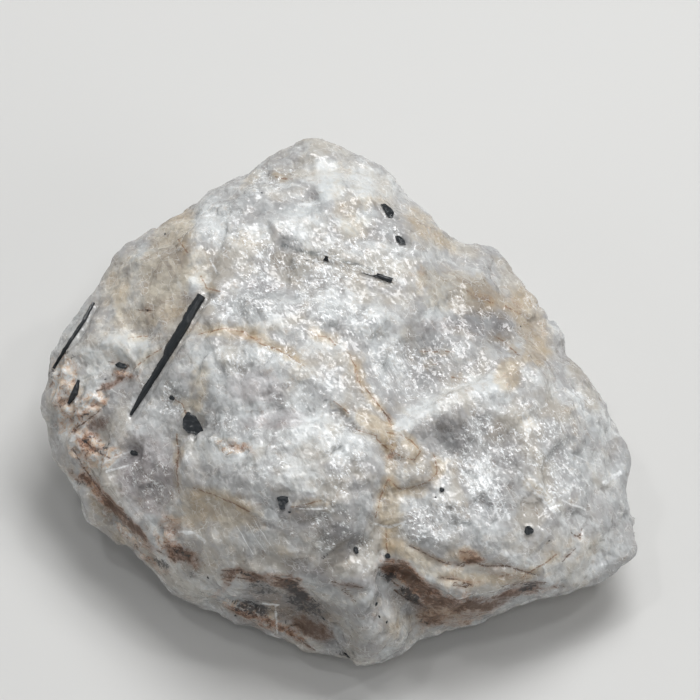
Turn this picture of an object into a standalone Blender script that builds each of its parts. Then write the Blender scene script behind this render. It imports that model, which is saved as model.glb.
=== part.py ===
"""Rough moonstone with black tourmaline crystals grown into it, lying on a small flat spot.

The stone is laid out as it is seen along a sight line SIGHT_ELEVATION above the horizon: u runs to the right,
v runs up the view and w runs towards the eye, all in millimetres. stand() then turns that layout into the
frame the stone rests in, in metres, with +Z up and the flat spot at z = 0.
"""

import math

import bmesh
import bpy
from mathutils import Matrix, Vector, noise
from mathutils.bvhtree import BVHTree
from mathutils.geometry import delaunay_2d_cdt

MM = 0.001

# How the stone lies
SIGHT_ELEVATION = math.radians(60)
FLAT_SPOT_DEPTH = 20.4  # below the middle of the view, in millimetres
BOX_SHIFT_X = 0.15
BOX_SHIFT_Y = -2.35

# Mesh sizes, in millimetres
BLOCK_GRAIN = 0.7
BLOCK_TRIANGLES = 6800
POCKET_GAP = 0.25
ABOVE_THE_STONE = 60  # a start for sight rays, from the middle of the view
MERGE_DISTANCE = 1e-6  # in metres
OUTLINE_PRECISION = 1e-5

# Rounds of smoothing before and after the block is chipped, and how strong one is
ROUNDS_BEFORE = 3
ROUNDS_AFTER = 1
SOFTENING = 0.5

# Outline of the stone against the background, clockwise from the top, as (u, v, w)
RIM = (
    (-3.4, 32.9, -9.0),
    (-1.0, 32.6, -9.0),
    (1.6, 31.1, -8.5),
    (5.5, 29.1, -8.0),
    (6.8, 28.1, -7.5),
    (7.0, 27.1, -7.0),
    (9.4, 24.8, -6.8),
    (11.9, 23.1, -6.0),
    (14.4, 21.1, -5.0),
    (14.1, 20.0, -5.5),
    (15.0, 19.4, -6.5),
    (18.5, 19.8, -9.0),
    (19.9, 19.4, -9.0),
    (22.1, 15.4, -8.0),
    (24.4, 12.6, -7.5),
    (26.9, 8.4, -7.0),
    (28.3, 5.5, -6.3),
    (30.4, 3.9, -6.0),
    (33.0, 0.0, -6.0),
    (36.3, -7.4, -5.5),
    (35.9, -11.0, -5.0),
    (36.0, -13.4, -5.0),
    (37.5, -18.2, -2.4),
    (36.5, -20.8, -1.4),
    (33.0, -22.9, -0.2),
    (28.4, -24.4, 0.6),
    (26.2, -24.6, 0.2),
    (18.8, -27.1, -2.4),
    (17.0, -28.1, -3.0),
    (10.6, -29.8, -2.5),
    (8.2, -31.6, -0.5),
    (5.5, -32.9, 0.3),
    (2.9, -33.3, 0.5),
    (-4.3, -31.9, -0.8),
    (-9.0, -29.8, -2.5),
    (-12.6, -27.9, -3.5),
    (-18.8, -25.3, -4.5),
    (-21.0, -23.9, -4.5),
    (-25.7, -19.7, -5.0),
    (-28.6, -16.9, -5.0),
    (-31.8, -14.4, -5.5),
    (-33.5, -10.8, -6.0),
    (-35.8, -7.7, -6.5),
    (-37.3, -4.9, -6.5),
    (-36.9, -3.5, -6.0),
    (-37.5, -1.4, -6.0),
    (-36.7, 4.8, -6.5),
    (-34.1, 10.0, -7.0),
    (-31.4, 13.0, -7.0),
    (-28.8, 17.0, -8.0),
    (-27.5, 18.8, -8.0),
    (-25.4, 19.9, -8.0),
    (-23.0, 22.2, -8.5),
    (-18.2, 24.6, -8.5),
    (-16.2, 26.3, -9.0),
    (-14.0, 26.8, -9.0),
    (-10.7, 29.1, -9.0),
    (-8.9, 31.0, -9.0),
    (-6.5, 32.2, -9.5),
)

# Ridges, hollows, steps and cracks of the face turned to the eye, each a line of (u, v, w)
FACE_LINES = {
    "top brow": ((-9.5, 25.5, -2.0), (-3.0, 27.0, -2.5), (3.0, 26.5, -2.5)),
    "top shoulder": ((-15.0, 22.5, 0.5), (-9.0, 22.0, 2.2), (-2.0, 22.0, 2.6), (4.0, 22.5, 1.0)),
    "upper hollow": ((-12.0, 18.5, 3.0), (-5.0, 18.0, 4.0), (2.0, 17.0, 4.5), (8.0, 16.5, 3.0)),
    "needle step": ((-14.0, 14.0, 4.5), (-7.0, 14.0, 5.0), (0.0, 13.5, 5.5), (7.0, 13.0, 5.0)),
    "upper terrace": ((-15.0, 10.5, 7.0), (-8.0, 11.0, 8.5), (-1.0, 10.5, 9.0), (5.0, 10.0, 8.0)),
    "terrace back": ((-14.5, 7.5, 8.0), (-8.0, 7.3, 9.5), (-2.0, 7.2, 10.0), (2.0, 7.0, 9.5)),
    "main brow": ((-15.0, 4.5, 9.0), (-8.0, 4.5, 12.0), (-2.0, 4.3, 12.6), (1.0, 4.0, 11.6)),
    "rosy flat": ((-15.5, 0.5, 9.6), (-9.0, 1.0, 13.0), (-2.0, 0.8, 13.6), (1.5, 0.0, 12.6)),
    "plate gap": ((-14.5, -2.0, 10.4), (-8.0, -1.6, 12.9), (-1.0, -1.2, 13.3), (3.2, -1.6, 12.2)),
    "second brow": ((-16.0, -4.4, 10.4), (-8.0, -3.9, 14.6), (0.0, -3.6, 15.1), (3.8, -4.0, 13.8)),
    "main crest": ((-14.5, -9.0, 12.6), (-8.0, -10.0, 16.2), (0.0, -10.0, 16.9), (4.1, -8.8, 14.9)),
    "lower slope": ((-13.0, -14.5, 12.2), (-7.0, -14.5, 15.0), (0.0, -15.0, 15.3), (4.2, -14.0, 14.0)),
    "bottom break": (
        (-13.8, -21.2, 9.4),
        (-10.5, -21.5, 10.8),
        (-6.3, -21.6, 11.6),
        (-2.5, -23.8, 10.6),
        (0.0, -25.4, 9.0),
    ),
    "break hollow": ((-14.2, -23.6, 4.8), (-9.5, -24.4, 5.6), (-4.0, -25.9, 5.8), (-0.8, -28.0, 5.2)),
    "lower belly": ((-13.5, -17.6, 11.2), (-6.0, -18.0, 13.6), (0.5, -18.0, 13.6)),
    "left facet": ((-19.6, -17.0, 6.6), (-16.5, -17.6, 8.8)),
    "facet foot": ((-17.5, -23.2, 2.6), (-16.0, -21.6, 6.8)),
    "tip rib": ((3.2, -19.5, 13.0), (2.6, -23.0, 12.2), (2.8, -27.0, 10.4), (3.0, -30.5, 7.2)),
    "tip side": ((5.8, -25.6, 8.0), (7.0, -28.6, 5.6), (6.4, -31.0, 3.4)),
    "bottom foot": ((-14.0, -25.5, -0.5), (-8.5, -27.5, 0.0), (-3.0, -29.5, 1.0)),
    "tan shelf": ((-25.0, 17.5, -3.0), (-24.5, 13.0, -1.0), (-26.0, 9.4, -1.0)),
    "tan border": ((-17.5, 23.0, -2.5), (-19.0, 20.5, -0.5), (-19.4, 17.0, 1.0), (-18.4, 14.2, 3.0)),
    "rod bed": (
        (-17.2, 12.9, 4.2),
        (-19.5, 9.0, 4.0),
        (-21.9, 6.2, 3.6),
        (-24.0, 2.0, 3.0),
        (-26.0, -1.8, 2.2),
    ),
    "left brow": ((-33.0, 7.2, -2.5), (-30.0, 7.3, -0.3), (-27.0, 6.6, 0.8)),
    "left pit": ((-30.5, 3.5, -1.4), (-27.0, 4.2, -0.2)),
    "rusty shelf": ((-34.0, 1.0, -2.0), (-30.0, -0.5, 0.2)),
    "left hollow": ((-34.0, -3.5, -3.8), (-29.5, -4.0, -1.5)),
    "rusty step": ((-32.0, -6.8, -0.6), (-28.0, -7.2, 1.5), (-23.8, -6.6, 4.8)),
    "ledge edge": (
        (-29.9, -8.6, 1.0),
        (-28.5, -11.9, 1.2),
        (-26.1, -15.1, 1.8),
        (-23.4, -17.9, 2.6),
        (-21.5, -19.5, 3.2),
    ),
    "groove": (
        (-30.9, -9.7, -3.2),
        (-29.5, -12.7, -3.4),
        (-27.0, -16.0, -3.2),
        (-24.4, -18.9, -2.8),
        (-22.3, -20.8, -2.2),
    ),
    "lip": (
        (-32.3, -11.8, -2.8),
        (-28.9, -15.9, -2.4),
        (-26.3, -17.9, -2.2),
        (-23.8, -20.3, -2.0),
        (-21.2, -22.8, -2.0),
    ),
    "inner left": ((-16.5, 0.5, 8.5), (-18.5, -3.5, 7.0), (-19.8, -9.0, 7.2), (-19.8, -13.5, 6.4)),
    "notch edge": ((16.5, 17.8, -4.5), (18.5, 16.3, -4.2), (20.0, 14.5, -4.5)),
    "right hollow": ((9.5, 20.0, 0.6), (11.0, 13.5, 2.6), (11.0, 9.0, 3.2), (9.6, 5.0, 4.8), (7.6, 2.6, 7.2)),
    "right basin": ((15.0, 14.0, 0.6), (16.0, 9.0, 2.0), (14.5, 5.0, 4.2)),
    "far right basin": ((20.0, 11.5, -1.2), (21.5, 7.5, 0.6)),
    "bright band top": ((7.6, -1.2, 9.6), (13.0, 1.6, 7.4), (19.0, 4.4, 4.4), (24.0, 6.3, 0.8)),
    "bright band crest": (
        (7.4, -4.4, 12.2),
        (13.0, -1.8, 11.0),
        (19.0, 1.2, 8.2),
        (25.0, 3.3, 3.4),
        (27.8, 2.8, -1.0),
    ),
    "grey pit": ((14.5, -5.0, 8.8), (19.0, -4.5, 7.8)),
    "right slope": ((24.0, -3.0, 6.6), (29.0, -3.5, 2.6), (33.0, -6.5, -1.0)),
    "right middle": ((11.0, -10.0, 11.6), (17.5, -10.0, 10.4), (23.5, -10.0, 8.0), (29.0, -10.5, 4.2)),
    "right low": (
        (9.0, -15.0, 12.6),
        (15.0, -16.0, 12.2),
        (20.0, -16.5, 10.6),
        (26.0, -16.0, 7.4),
        (32.0, -14.5, 2.2),
    ),
    "crack shelf": (
        (8.5, -18.8, 11.8),
        (12.0, -19.6, 11.4),
        (17.0, -20.4, 10.6),
        (22.5, -20.6, 8.6),
        (28.0, -19.5, 5.2),
        (33.5, -18.5, 1.2),
    ),
    "ledge": (
        (6.2, -19.8, 10.2),
        (8.0, -21.0, 9.8),
        (10.0, -21.9, 9.8),
        (12.8, -23.4, 9.6),
        (15.0, -24.3, 9.0),
        (18.3, -23.9, 8.2),
        (22.3, -22.7, 6.8),
        (25.0, -22.5, 5.2),
        (28.4, -22.4, 3.2),
    ),
    "under ledge": ((9.6, -24.4, 4.4), (13.0, -26.2, 3.4), (17.5, -25.8, 3.4), (21.5, -24.6, 3.0)),
    "valley": (
        (5.4, -21.5, 7.4),
        (6.0, -22.8, 5.8),
        (7.8, -25.0, 3.2),
        (9.4, -27.4, 0.6),
        (10.2, -29.0, -1.6),
    ),
    "central crack": (
        (1.8, 5.4, 10.4),
        (3.9, 0.6, 11.6),
        (5.6, -2.5, 11.8),
        (5.9, -5.5, 12.4),
        (5.7, -9.0, 13.0),
        (5.0, -13.0, 12.6),
        (5.5, -18.0, 10.8),
    ),
}

# The far side and the underside, each a line of (u, v, w)
BACK_LINES = {
    "back top": ((-9.0, 28.0, -16.0), (-2.0, 30.0, -17.0), (4.0, 26.5, -15.0)),
    "back wall": ((-18.0, 20.5, -17.0), (-9.0, 21.0, -23.0), (1.0, 22.5, -24.0), (10.0, 19.0, -17.0)),
    "back foot": ((-21.0, 12.0, -23.0), (-11.0, 12.5, -28.5), (2.0, 13.0, -29.5), (13.0, 11.0, -25.0)),
    "back right": ((18.0, 15.5, -15.0), (22.0, 8.5, -17.5), (26.5, 2.5, -16.0)),
    "right side": ((31.5, -4.0, -12.5), (32.5, -11.5, -10.5), (33.0, -18.0, -8.5)),
    "right foot": ((24.0, -3.0, -19.0), (25.5, -12.0, -14.5), (25.0, -19.5, -9.0)),
    "left side": ((-31.0, 9.0, -12.0), (-33.5, 2.0, -11.5), (-33.0, -5.0, -11.0), (-29.5, -11.5, -9.5)),
    "left foot": ((-25.5, 6.0, -19.0), (-27.0, -2.0, -17.5), (-24.0, -10.0, -13.5), (-19.5, -17.5, -9.5)),
    "under back": ((-14.0, 2.5, -25.0), (0.0, 2.5, -27.0), (14.0, 1.0, -24.5)),
    "under middle": ((-15.0, -6.0, -20.5), (0.0, -7.5, -22.6), (15.0, -8.0, -19.5)),
    "under front": ((-12.0, -18.0, -12.0), (0.0, -18.0, -14.5), (13.0, -19.0, -11.5)),
    "under tip": ((-5.0, -27.5, -5.5), (5.0, -28.5, -5.0)),
}

# Chips broken off the block: their size in millimetres, and how much their planes tilt
CHIPS = ((9.0, 0.085), (4.0, 0.07))
CHIP_SHUFFLE = 7.3  # spreads the leans of neighbouring chips
LUMP_SIZE = 3.0
LUMP_HEIGHT = 0.22
LUMP_ROUGHNESS = 0.9
LUMP_STEP = 2.1
LUMP_LAYERS = 3
SWELL = 0.33  # the even mesh wears this much off the rim

# Black crystals, each a name, the line (u, v, sink) that it follows under the surface, its half widths along
# that line, and how far its section is turned. Sink is from the surface down to the crystal's axis.
LONG_CRYSTALS = (
    (
        "tourmaline_rod",
        ((-17.25, 13.0, 0.1), (-18.9, 10.3, 0.1), (-19.2, 9.6, 0.15), (-21.3, 6.2, 0.15), (-21.7, 5.3, 0.2),
         (-24.4, 1.0, 0.2), (-26.1, -1.85, 0.3)),
        (0.54, 0.62, 0.6, 0.6, 0.44, 0.4, 0.18),
        20,
    ),
    (
        "tourmaline_needle",
        ((-7.1, 19.3, 0.35), (-2.5, 17.9, 0.1), (-0.6, 17.2, 0.15), (1.8, 16.4, 0.4), (4.4, 15.6, 0.15),
         (6.5, 14.9, 0.05)),
        (0.2, 0.28, 0.28, 0.24, 0.28, 0.34),
        0,
    ),
    (
        "tourmaline_edge_needle",
        ((-31.0, 12.2, 0.05), (-32.2, 9.9, 0.1), (-34.0, 7.2, 0.1), (-36.0, 4.0, 0.1)),
        (0.2, 0.24, 0.22, 0.18),
        40,
    ),
    (
        "tourmaline_blade",
        ((-32.7, 2.5, 0.1), (-33.2, 0.9, 0.1), (-34.0, -0.4, 0.1)),
        (0.16, 0.42, 0.2),
        70,
    ),
)

# Crystals broken off at the surface, whose ends show an outline of their own: name, outline in (u, v)
BROKEN_CRYSTALS = (
    (
        "tourmaline_block",
        ((-18.9, -1.4), (-17.9, -2.0), (-17.3, -2.9), (-16.7, -4.3), (-17.7, -4.5),
         (-18.2, -4.1), (-18.9, -4.0), (-19.5, -3.4), (-19.5, -2.3)),
    ),
    (
        "tourmaline_star",
        ((-7.8, -11.9), (-7.1, -11.7), (-6.4, -11.8), (-6.3, -12.4), (-6.7, -12.8),
         (-6.8, -13.3), (-7.3, -13.4), (-7.5, -12.9), (-7.5, -12.5)),
    ),
    (
        "tourmaline_top_upper",
        ((5.1, 24.5), (5.6, 24.6), (6.4, 24.0), (6.8, 23.4), (6.6, 22.8), (6.1, 22.8), (5.6, 23.6)),
    ),
    (
        "tourmaline_top_lower",
        ((6.9, 20.5), (7.5, 20.5), (8.1, 19.9), (8.2, 19.4), (7.6, 19.5), (7.1, 19.9)),
    ),
    (
        "tourmaline_left_upper",
        ((-28.1, 4.4), (-27.6, 4.75), (-27.0, 4.55), (-26.5, 4.2), (-27.1, 3.95), (-27.8, 4.05)),
    ),
)

# Small stubs with round ribbed ends: name, place (u, v), half width, stretch, turn in degrees
STUB_CRYSTALS = (
    ("tourmaline_right", (23.4, -16.1), 0.54, 1.05, 10),
    ("tourmaline_left_lower", (-25.7, -6.6), 0.33, 1.5, 20),
    ("tourmaline_small_left", (-20.9, 0.3), 0.3, 1.2, 30),
    ("tourmaline_small_low", (2.0, -18.4), 0.28, 1.6, 75),
    ("tourmaline_crack_end", (5.9, -19.2), 0.33, 1.1, 40),
    ("tourmaline_small_right", (12.6, -11.0), 0.27, 1.1, 0),
)
STUB_PROUD = 0.12
STUB_DEPTH = 1.6
LONG_RIBS = 8
STUB_RIBS = 6
SECTION_BULGE = 0.07  # towards three sides, as parts of the half width
RIB_HEIGHT = 0.04

FELDSPAR = ("feldspar", (0.72, 0.71, 0.70), 0.45)
TOURMALINE = ("tourmaline", (0.025, 0.028, 0.03), 0.35)


def sight_axes():
    """The directions of u, v and w in the frame the stone rests in."""
    rise, run = math.sin(SIGHT_ELEVATION), math.cos(SIGHT_ELEVATION)
    return Vector((1, 0, 0)), Vector((0, rise, run)), Vector((0, -run, rise))


def stand(u, v, w):
    """A point of the layout, in the frame the stone rests in, in metres."""
    right, up, near = sight_axes()
    point = right * u + up * v + near * w
    return (point + Vector((BOX_SHIFT_X, BOX_SHIFT_Y, FLAT_SPOT_DEPTH))) * MM


def clear_scene():
    for obj in list(bpy.data.objects):
        bpy.data.objects.remove(obj, do_unlink=True)


def new_collection(name):
    collection = bpy.data.collections.new(name)
    bpy.context.scene.collection.children.link(collection)
    return collection


def new_material(name, colour, roughness):
    material = bpy.data.materials.new(name)
    material.use_nodes = True
    shader = material.node_tree.nodes["Principled BSDF"]
    shader.inputs["Base Color"].default_value = (*colour, 1)
    shader.inputs["Roughness"].default_value = roughness
    shader.inputs["Metallic"].default_value = 0
    return material


def new_object(name, mesh, collection, material=None):
    obj = bpy.data.objects.new(name, mesh)
    if material:
        mesh.materials.append(material)
    collection.objects.link(obj)
    return obj


def evaluated_copy(obj):
    """The object's mesh with its modifiers applied, as a new mesh."""
    graph = bpy.context.evaluated_depsgraph_get()
    graph.update()
    return bpy.data.meshes.new_from_object(obj.evaluated_get(graph))


def apply_modifiers(obj):
    baked = evaluated_copy(obj)
    obj.modifiers.clear()
    obj.data = baked


def relief_faces(lines):
    """Triangles between the rim and the given lines, with an edge along each line: (points, triangles).
    The rim comes first in the points, in its own order."""
    points = list(RIM)
    edges = [(i, (i + 1) % len(RIM)) for i in range(len(RIM))]
    for line in lines.values():
        first = len(points)
        points.extend(line)
        edges.extend((i, i + 1) for i in range(first, len(points) - 1))
    flat = [Vector((u, v)) for u, v, _ in points]
    inside_outline = 1
    _, _, triangles, origins, _, _ = delaunay_2d_cdt(flat, edges, [], inside_outline, OUTLINE_PRECISION)
    return points, [[origins[corner][0] for corner in triangle] for triangle in triangles]


def block_cage():
    """The closed coarse form of the stone: its face and its back, joined along the rim."""
    cage = bmesh.new()
    rim = [cage.verts.new(stand(*point)) for point in RIM]
    sheets = []
    for lines in (FACE_LINES, BACK_LINES):
        points, triangles = relief_faces(lines)
        corners = rim + [cage.verts.new(stand(*point)) for point in points[len(RIM):]]
        sheets.append([frozenset(corners[i] for i in triangle) for triangle in triangles])
    flat = set(sheets[0]) & set(sheets[1])
    for triangle in sheets[0] + sheets[1]:
        if triangle not in flat:
            cage.faces.new(list(triangle))
    bmesh.ops.recalc_face_normals(cage, faces=cage.faces)
    mesh = bpy.data.meshes.new("moonstone")
    cage.to_mesh(mesh)
    cage.free()
    return mesh


def chip_height(place, size, tilt):
    """How far a chip's plane lies from the block, at a place in millimetres. Each cell is one chip."""
    _, centres = noise.voronoi(place / size)
    lean = noise.cell_vector(centres[0] * CHIP_SHUFFLE) - Vector((0.5, 0.5, 0.5))
    return (place / size - centres[0]).dot(lean) * size * 2 * tilt


def lump_height(place):
    return LUMP_HEIGHT * noise.fractal(place / LUMP_SIZE, LUMP_ROUGHNESS, LUMP_STEP, LUMP_LAYERS)


def chip_surface(mesh):
    """Breaks the smooth block into tilted chips and lumps, along its own normals."""
    mesh.update()
    heights = []
    for vertex in mesh.vertices:
        place = vertex.co / MM
        height = SWELL + lump_height(place) + sum(chip_height(place, size, tilt) for size, tilt in CHIPS)
        heights.append(vertex.normal * height * MM)
    for vertex, shift in zip(mesh.vertices, heights):
        vertex.co += shift
    mesh.update()


def cut_flat_spot(mesh):
    block = bmesh.new()
    block.from_mesh(mesh)
    everything = block.verts[:] + block.edges[:] + block.faces[:]
    cut = bmesh.ops.bisect_plane(
        block,
        geom=everything,
        dist=MERGE_DISTANCE / 10,
        plane_co=(0, 0, 0),
        plane_no=(0, 0, 1),
        clear_inner=True,
    )
    rim = [item for item in cut["geom_cut"] if isinstance(item, bmesh.types.BMEdge)]
    bmesh.ops.holes_fill(block, edges=rim, sides=0)
    bmesh.ops.triangulate(block, faces=block.faces)
    block.to_mesh(mesh)
    block.free()


def soften(obj, rounds):
    smooth = obj.modifiers.new("soften", "SMOOTH")
    smooth.factor = SOFTENING
    smooth.iterations = rounds


def make_block(collection, material):
    """The feldspar: an even mesh over the coarse form, chipped, thinned and cut flat below."""
    block = new_object("moonstone", block_cage(), collection, material)
    even = block.modifiers.new("even mesh", "REMESH")
    even.mode = "VOXEL"
    even.voxel_size = BLOCK_GRAIN * MM
    soften(block, ROUNDS_BEFORE)
    apply_modifiers(block)
    chip_surface(block.data)
    soften(block, ROUNDS_AFTER)
    thin = block.modifiers.new("thin", "DECIMATE")
    triangles = 2 * len(block.data.polygons)
    thin.ratio = BLOCK_TRIANGLES / triangles
    apply_modifiers(block)
    cut_flat_spot(block.data)
    block.data.materials.clear()
    block.data.materials.append(material)
    return block


def surface_of(block):
    """Finds the place and the outward direction of the surface seen at (u, v)."""
    mesh = block.data
    tree = BVHTree.FromPolygons([v.co for v in mesh.vertices], [p.vertices for p in mesh.polygons])

    def seen_at(u, v):
        near = sight_axes()[2]
        place, normal, _, _ = tree.ray_cast(stand(u, v, ABOVE_THE_STONE), -near)
        return place, normal

    return seen_at


def striated_section(half_width, ribs):
    """Closed outline of a tourmaline crystal across its length: a bulging triangle with ribs."""
    points = []
    for step in range(2 * ribs):
        angle = math.pi * step / ribs
        bulge = 1 + SECTION_BULGE * math.cos(3 * angle) + (RIB_HEIGHT if step % 2 else -RIB_HEIGHT)
        points.append((half_width * bulge * math.cos(angle), half_width * bulge * math.sin(angle)))
    return points


def outline_curve(name, points):
    curve = bpy.data.curves.new(name, "CURVE")
    curve.dimensions = "2D"
    spline = curve.splines.new("POLY")
    spline.points.add(len(points) - 1)
    for point, (x, y) in zip(spline.points, points):
        point.co = (x, y, 0, 1)
    spline.use_cyclic_u = True
    return curve


def mesh_of_curve(name, curve, place, collection):
    """A closed mesh object from a curve, with its caps welded on."""
    drawn = bpy.data.objects.new(name + "_curve", curve)
    collection.objects.link(drawn)
    drawn.matrix_world = place
    bpy.context.view_layer.update()
    mesh = evaluated_copy(drawn)
    solid = bmesh.new()
    solid.from_mesh(mesh)
    bmesh.ops.remove_doubles(solid, verts=solid.verts, dist=MERGE_DISTANCE)
    bmesh.ops.recalc_face_normals(solid, faces=solid.faces)
    solid.to_mesh(mesh)
    solid.free()
    mesh.transform(place)
    bpy.data.objects.remove(drawn, do_unlink=True)
    return new_object(name, mesh, collection)


def long_crystal(name, line, half_widths, turn, seen_at, grow, collection):
    """A crystal that lies along the surface. grow makes it that much thicker and longer on every side."""
    section = bpy.data.objects.new(name + "_section", outline_curve(name, striated_section(MM, LONG_RIBS)))
    collection.objects.link(section)
    near = sight_axes()[2]
    places = [seen_at(u, v)[0] - near * sink * MM for u, v, sink in line]
    ends = ((places[0] - places[1]).normalized(), (places[-1] - places[-2]).normalized())
    places[0] = places[0] + ends[0] * grow * MM
    places[-1] = places[-1] + ends[1] * grow * MM
    curve = bpy.data.curves.new(name, "CURVE")
    curve.dimensions = "3D"
    curve.bevel_mode = "OBJECT"
    curve.bevel_object = section
    curve.use_fill_caps = True
    spline = curve.splines.new("POLY")
    spline.points.add(len(places) - 1)
    for point, place, half_width in zip(spline.points, places, half_widths):
        point.co = (*place, 1)
        point.radius = half_width + grow
        point.tilt = math.radians(turn)
    crystal = mesh_of_curve(name, curve, Matrix(), collection)
    bpy.data.objects.remove(section, do_unlink=True)
    return crystal


def sunk_prism(name, points, middle, turn, grow, collection):
    """A prism with that outline in metres, along the sight line, its top a little above the surface."""
    curve = outline_curve(name, points)
    curve.fill_mode = "BOTH"
    curve.extrude = (STUB_DEPTH / 2 + grow) * MM
    right, up, near = sight_axes()
    sunk = middle + near * (STUB_PROUD - STUB_DEPTH / 2) * MM
    axes = Matrix((right, up, near)).transposed().to_4x4()
    pose = Matrix.Translation(sunk) @ axes @ Matrix.Rotation(math.radians(-turn), 4, "Z")
    return mesh_of_curve(name, curve, pose, collection)


def grown_outline(points, grow):
    """An outline, clockwise, with every side moved out by grow."""
    grown = []
    for before, point, after in zip(points[-1:] + points[:-1], points, points[1:] + points[:1]):
        first = (point - before).normalized().orthogonal()
        second = (after - point).normalized().orthogonal()
        grown.append(point + (first + second) * grow / (1 + first.dot(second)))
    return grown


def broken_crystal(name, outline, seen_at, grow, collection):
    """A crystal whose end shows an outline of its own and which goes straight in."""
    corners = [Vector(corner) for corner in outline]
    middle = sum(corners, Vector((0, 0))) / len(corners)
    points = grown_outline([corner - middle for corner in corners], grow)
    place, _ = seen_at(*middle)
    return sunk_prism(name, [point * MM for point in points], place, 0, grow, collection)


def stub_crystal(name, spot, half_width, stretch, turn, seen_at, grow, collection):
    """A small crystal with a ribbed round end that goes straight in."""
    points = striated_section((half_width + grow) * MM, STUB_RIBS)
    wider = (half_width * stretch + grow) / (half_width + grow)
    place, _ = seen_at(*spot)
    return sunk_prism(name, [(x * wider, y) for x, y in points], place, turn, grow, collection)


def cut_pocket(block, cutter):
    cut = block.modifiers.new(cutter.name, "BOOLEAN")
    cut.operation = "DIFFERENCE"
    cut.solver = "EXACT"
    cut.object = cutter
    cutter.hide_render = True
    cutter.display_type = "WIRE"


def main():
    clear_scene()
    parts = new_collection("rough moonstone")
    cutters = new_collection("crystal pockets")
    block = make_block(parts, new_material(*FELDSPAR))
    black = new_material(*TOURMALINE)
    seen_at = surface_of(block)
    kinds = ((long_crystal, LONG_CRYSTALS), (broken_crystal, BROKEN_CRYSTALS), (stub_crystal, STUB_CRYSTALS))
    for make, crystals in kinds:
        for name, *form in crystals:
            crystal = make(name, *form, seen_at, 0.0, parts)
            crystal.data.materials.append(black)
            cut_pocket(block, make(name + "_pocket", *form, seen_at, POCKET_GAP, cutters))


main()
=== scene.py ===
"""Looks of a rough moonstone: a milky feldspar lump with black tourmaline crystals in it, on a pale floor.

Places on the stone are given as it is seen along a sight line SIGHT_ELEVATION above the horizon: u to the
right, v up the view and w towards the eye, in millimetres from the middle of the view. stand() turns them
into the frame's own metres.
"""

import math

import bmesh
import bpy
import numpy as np
from bpy.props import FloatProperty, FloatVectorProperty, IntProperty, PointerProperty
from mathutils import Matrix, Vector, noise
from mathutils.bvhtree import BVHTree


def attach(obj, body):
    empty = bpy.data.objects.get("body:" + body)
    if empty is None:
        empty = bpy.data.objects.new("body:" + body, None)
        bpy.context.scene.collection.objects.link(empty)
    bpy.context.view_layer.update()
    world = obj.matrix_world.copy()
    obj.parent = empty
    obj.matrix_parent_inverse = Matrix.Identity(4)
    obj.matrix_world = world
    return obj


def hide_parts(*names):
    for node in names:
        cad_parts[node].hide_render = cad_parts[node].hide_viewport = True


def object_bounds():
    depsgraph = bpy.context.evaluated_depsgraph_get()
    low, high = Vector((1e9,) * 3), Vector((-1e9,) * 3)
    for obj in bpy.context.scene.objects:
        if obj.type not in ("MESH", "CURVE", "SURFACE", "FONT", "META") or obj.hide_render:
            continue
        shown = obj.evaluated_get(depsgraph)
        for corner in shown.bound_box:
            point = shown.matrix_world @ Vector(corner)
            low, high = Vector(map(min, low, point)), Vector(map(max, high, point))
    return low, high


bl_info = {
    "name": "Rough moonstone",
    "version": (1, 0, 0),
    "blender": (4, 5, 0),
    "location": "View3D > Sidebar > Moonstone",
    "description": "Dresses a lump of rough moonstone with its tourmaline crystals and sets its stage",
    "category": "Object",
}

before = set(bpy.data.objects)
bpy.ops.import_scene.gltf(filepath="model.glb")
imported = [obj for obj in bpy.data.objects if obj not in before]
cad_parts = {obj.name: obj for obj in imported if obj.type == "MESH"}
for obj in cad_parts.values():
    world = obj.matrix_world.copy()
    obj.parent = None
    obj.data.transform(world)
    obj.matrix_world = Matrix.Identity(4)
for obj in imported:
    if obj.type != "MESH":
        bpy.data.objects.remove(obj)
CAD_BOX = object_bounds()
MM = 0.001

# How the stone lies, as in the solids
SIGHT_ELEVATION = math.radians(60)
FLAT_SPOT_DEPTH = 20.4
BOX_SHIFT_X = 0.15
BOX_SHIFT_Y = -2.35

# The picture: its width in millimetres at the middle of the stone, and what it is centred on
PICTURE_WIDTH = 87.5
PICTURE_CENTRE = (1.25, 6.25)

LONG_CRYSTALS = ("tourmaline_rod", "tourmaline_needle", "tourmaline_edge_needle", "tourmaline_blade")
STUB_CRYSTALS = tuple(
    name for name in sorted(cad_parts) if name.startswith("tourmaline") and name not in LONG_CRYSTALS
)

# Where the photograph's pixels lie in the view: the pixel at u = v = 0, and the pixels to a millimetre
PHOTO_MIDDLE = (340, 400)
PHOTO_SCALE = 8

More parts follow.
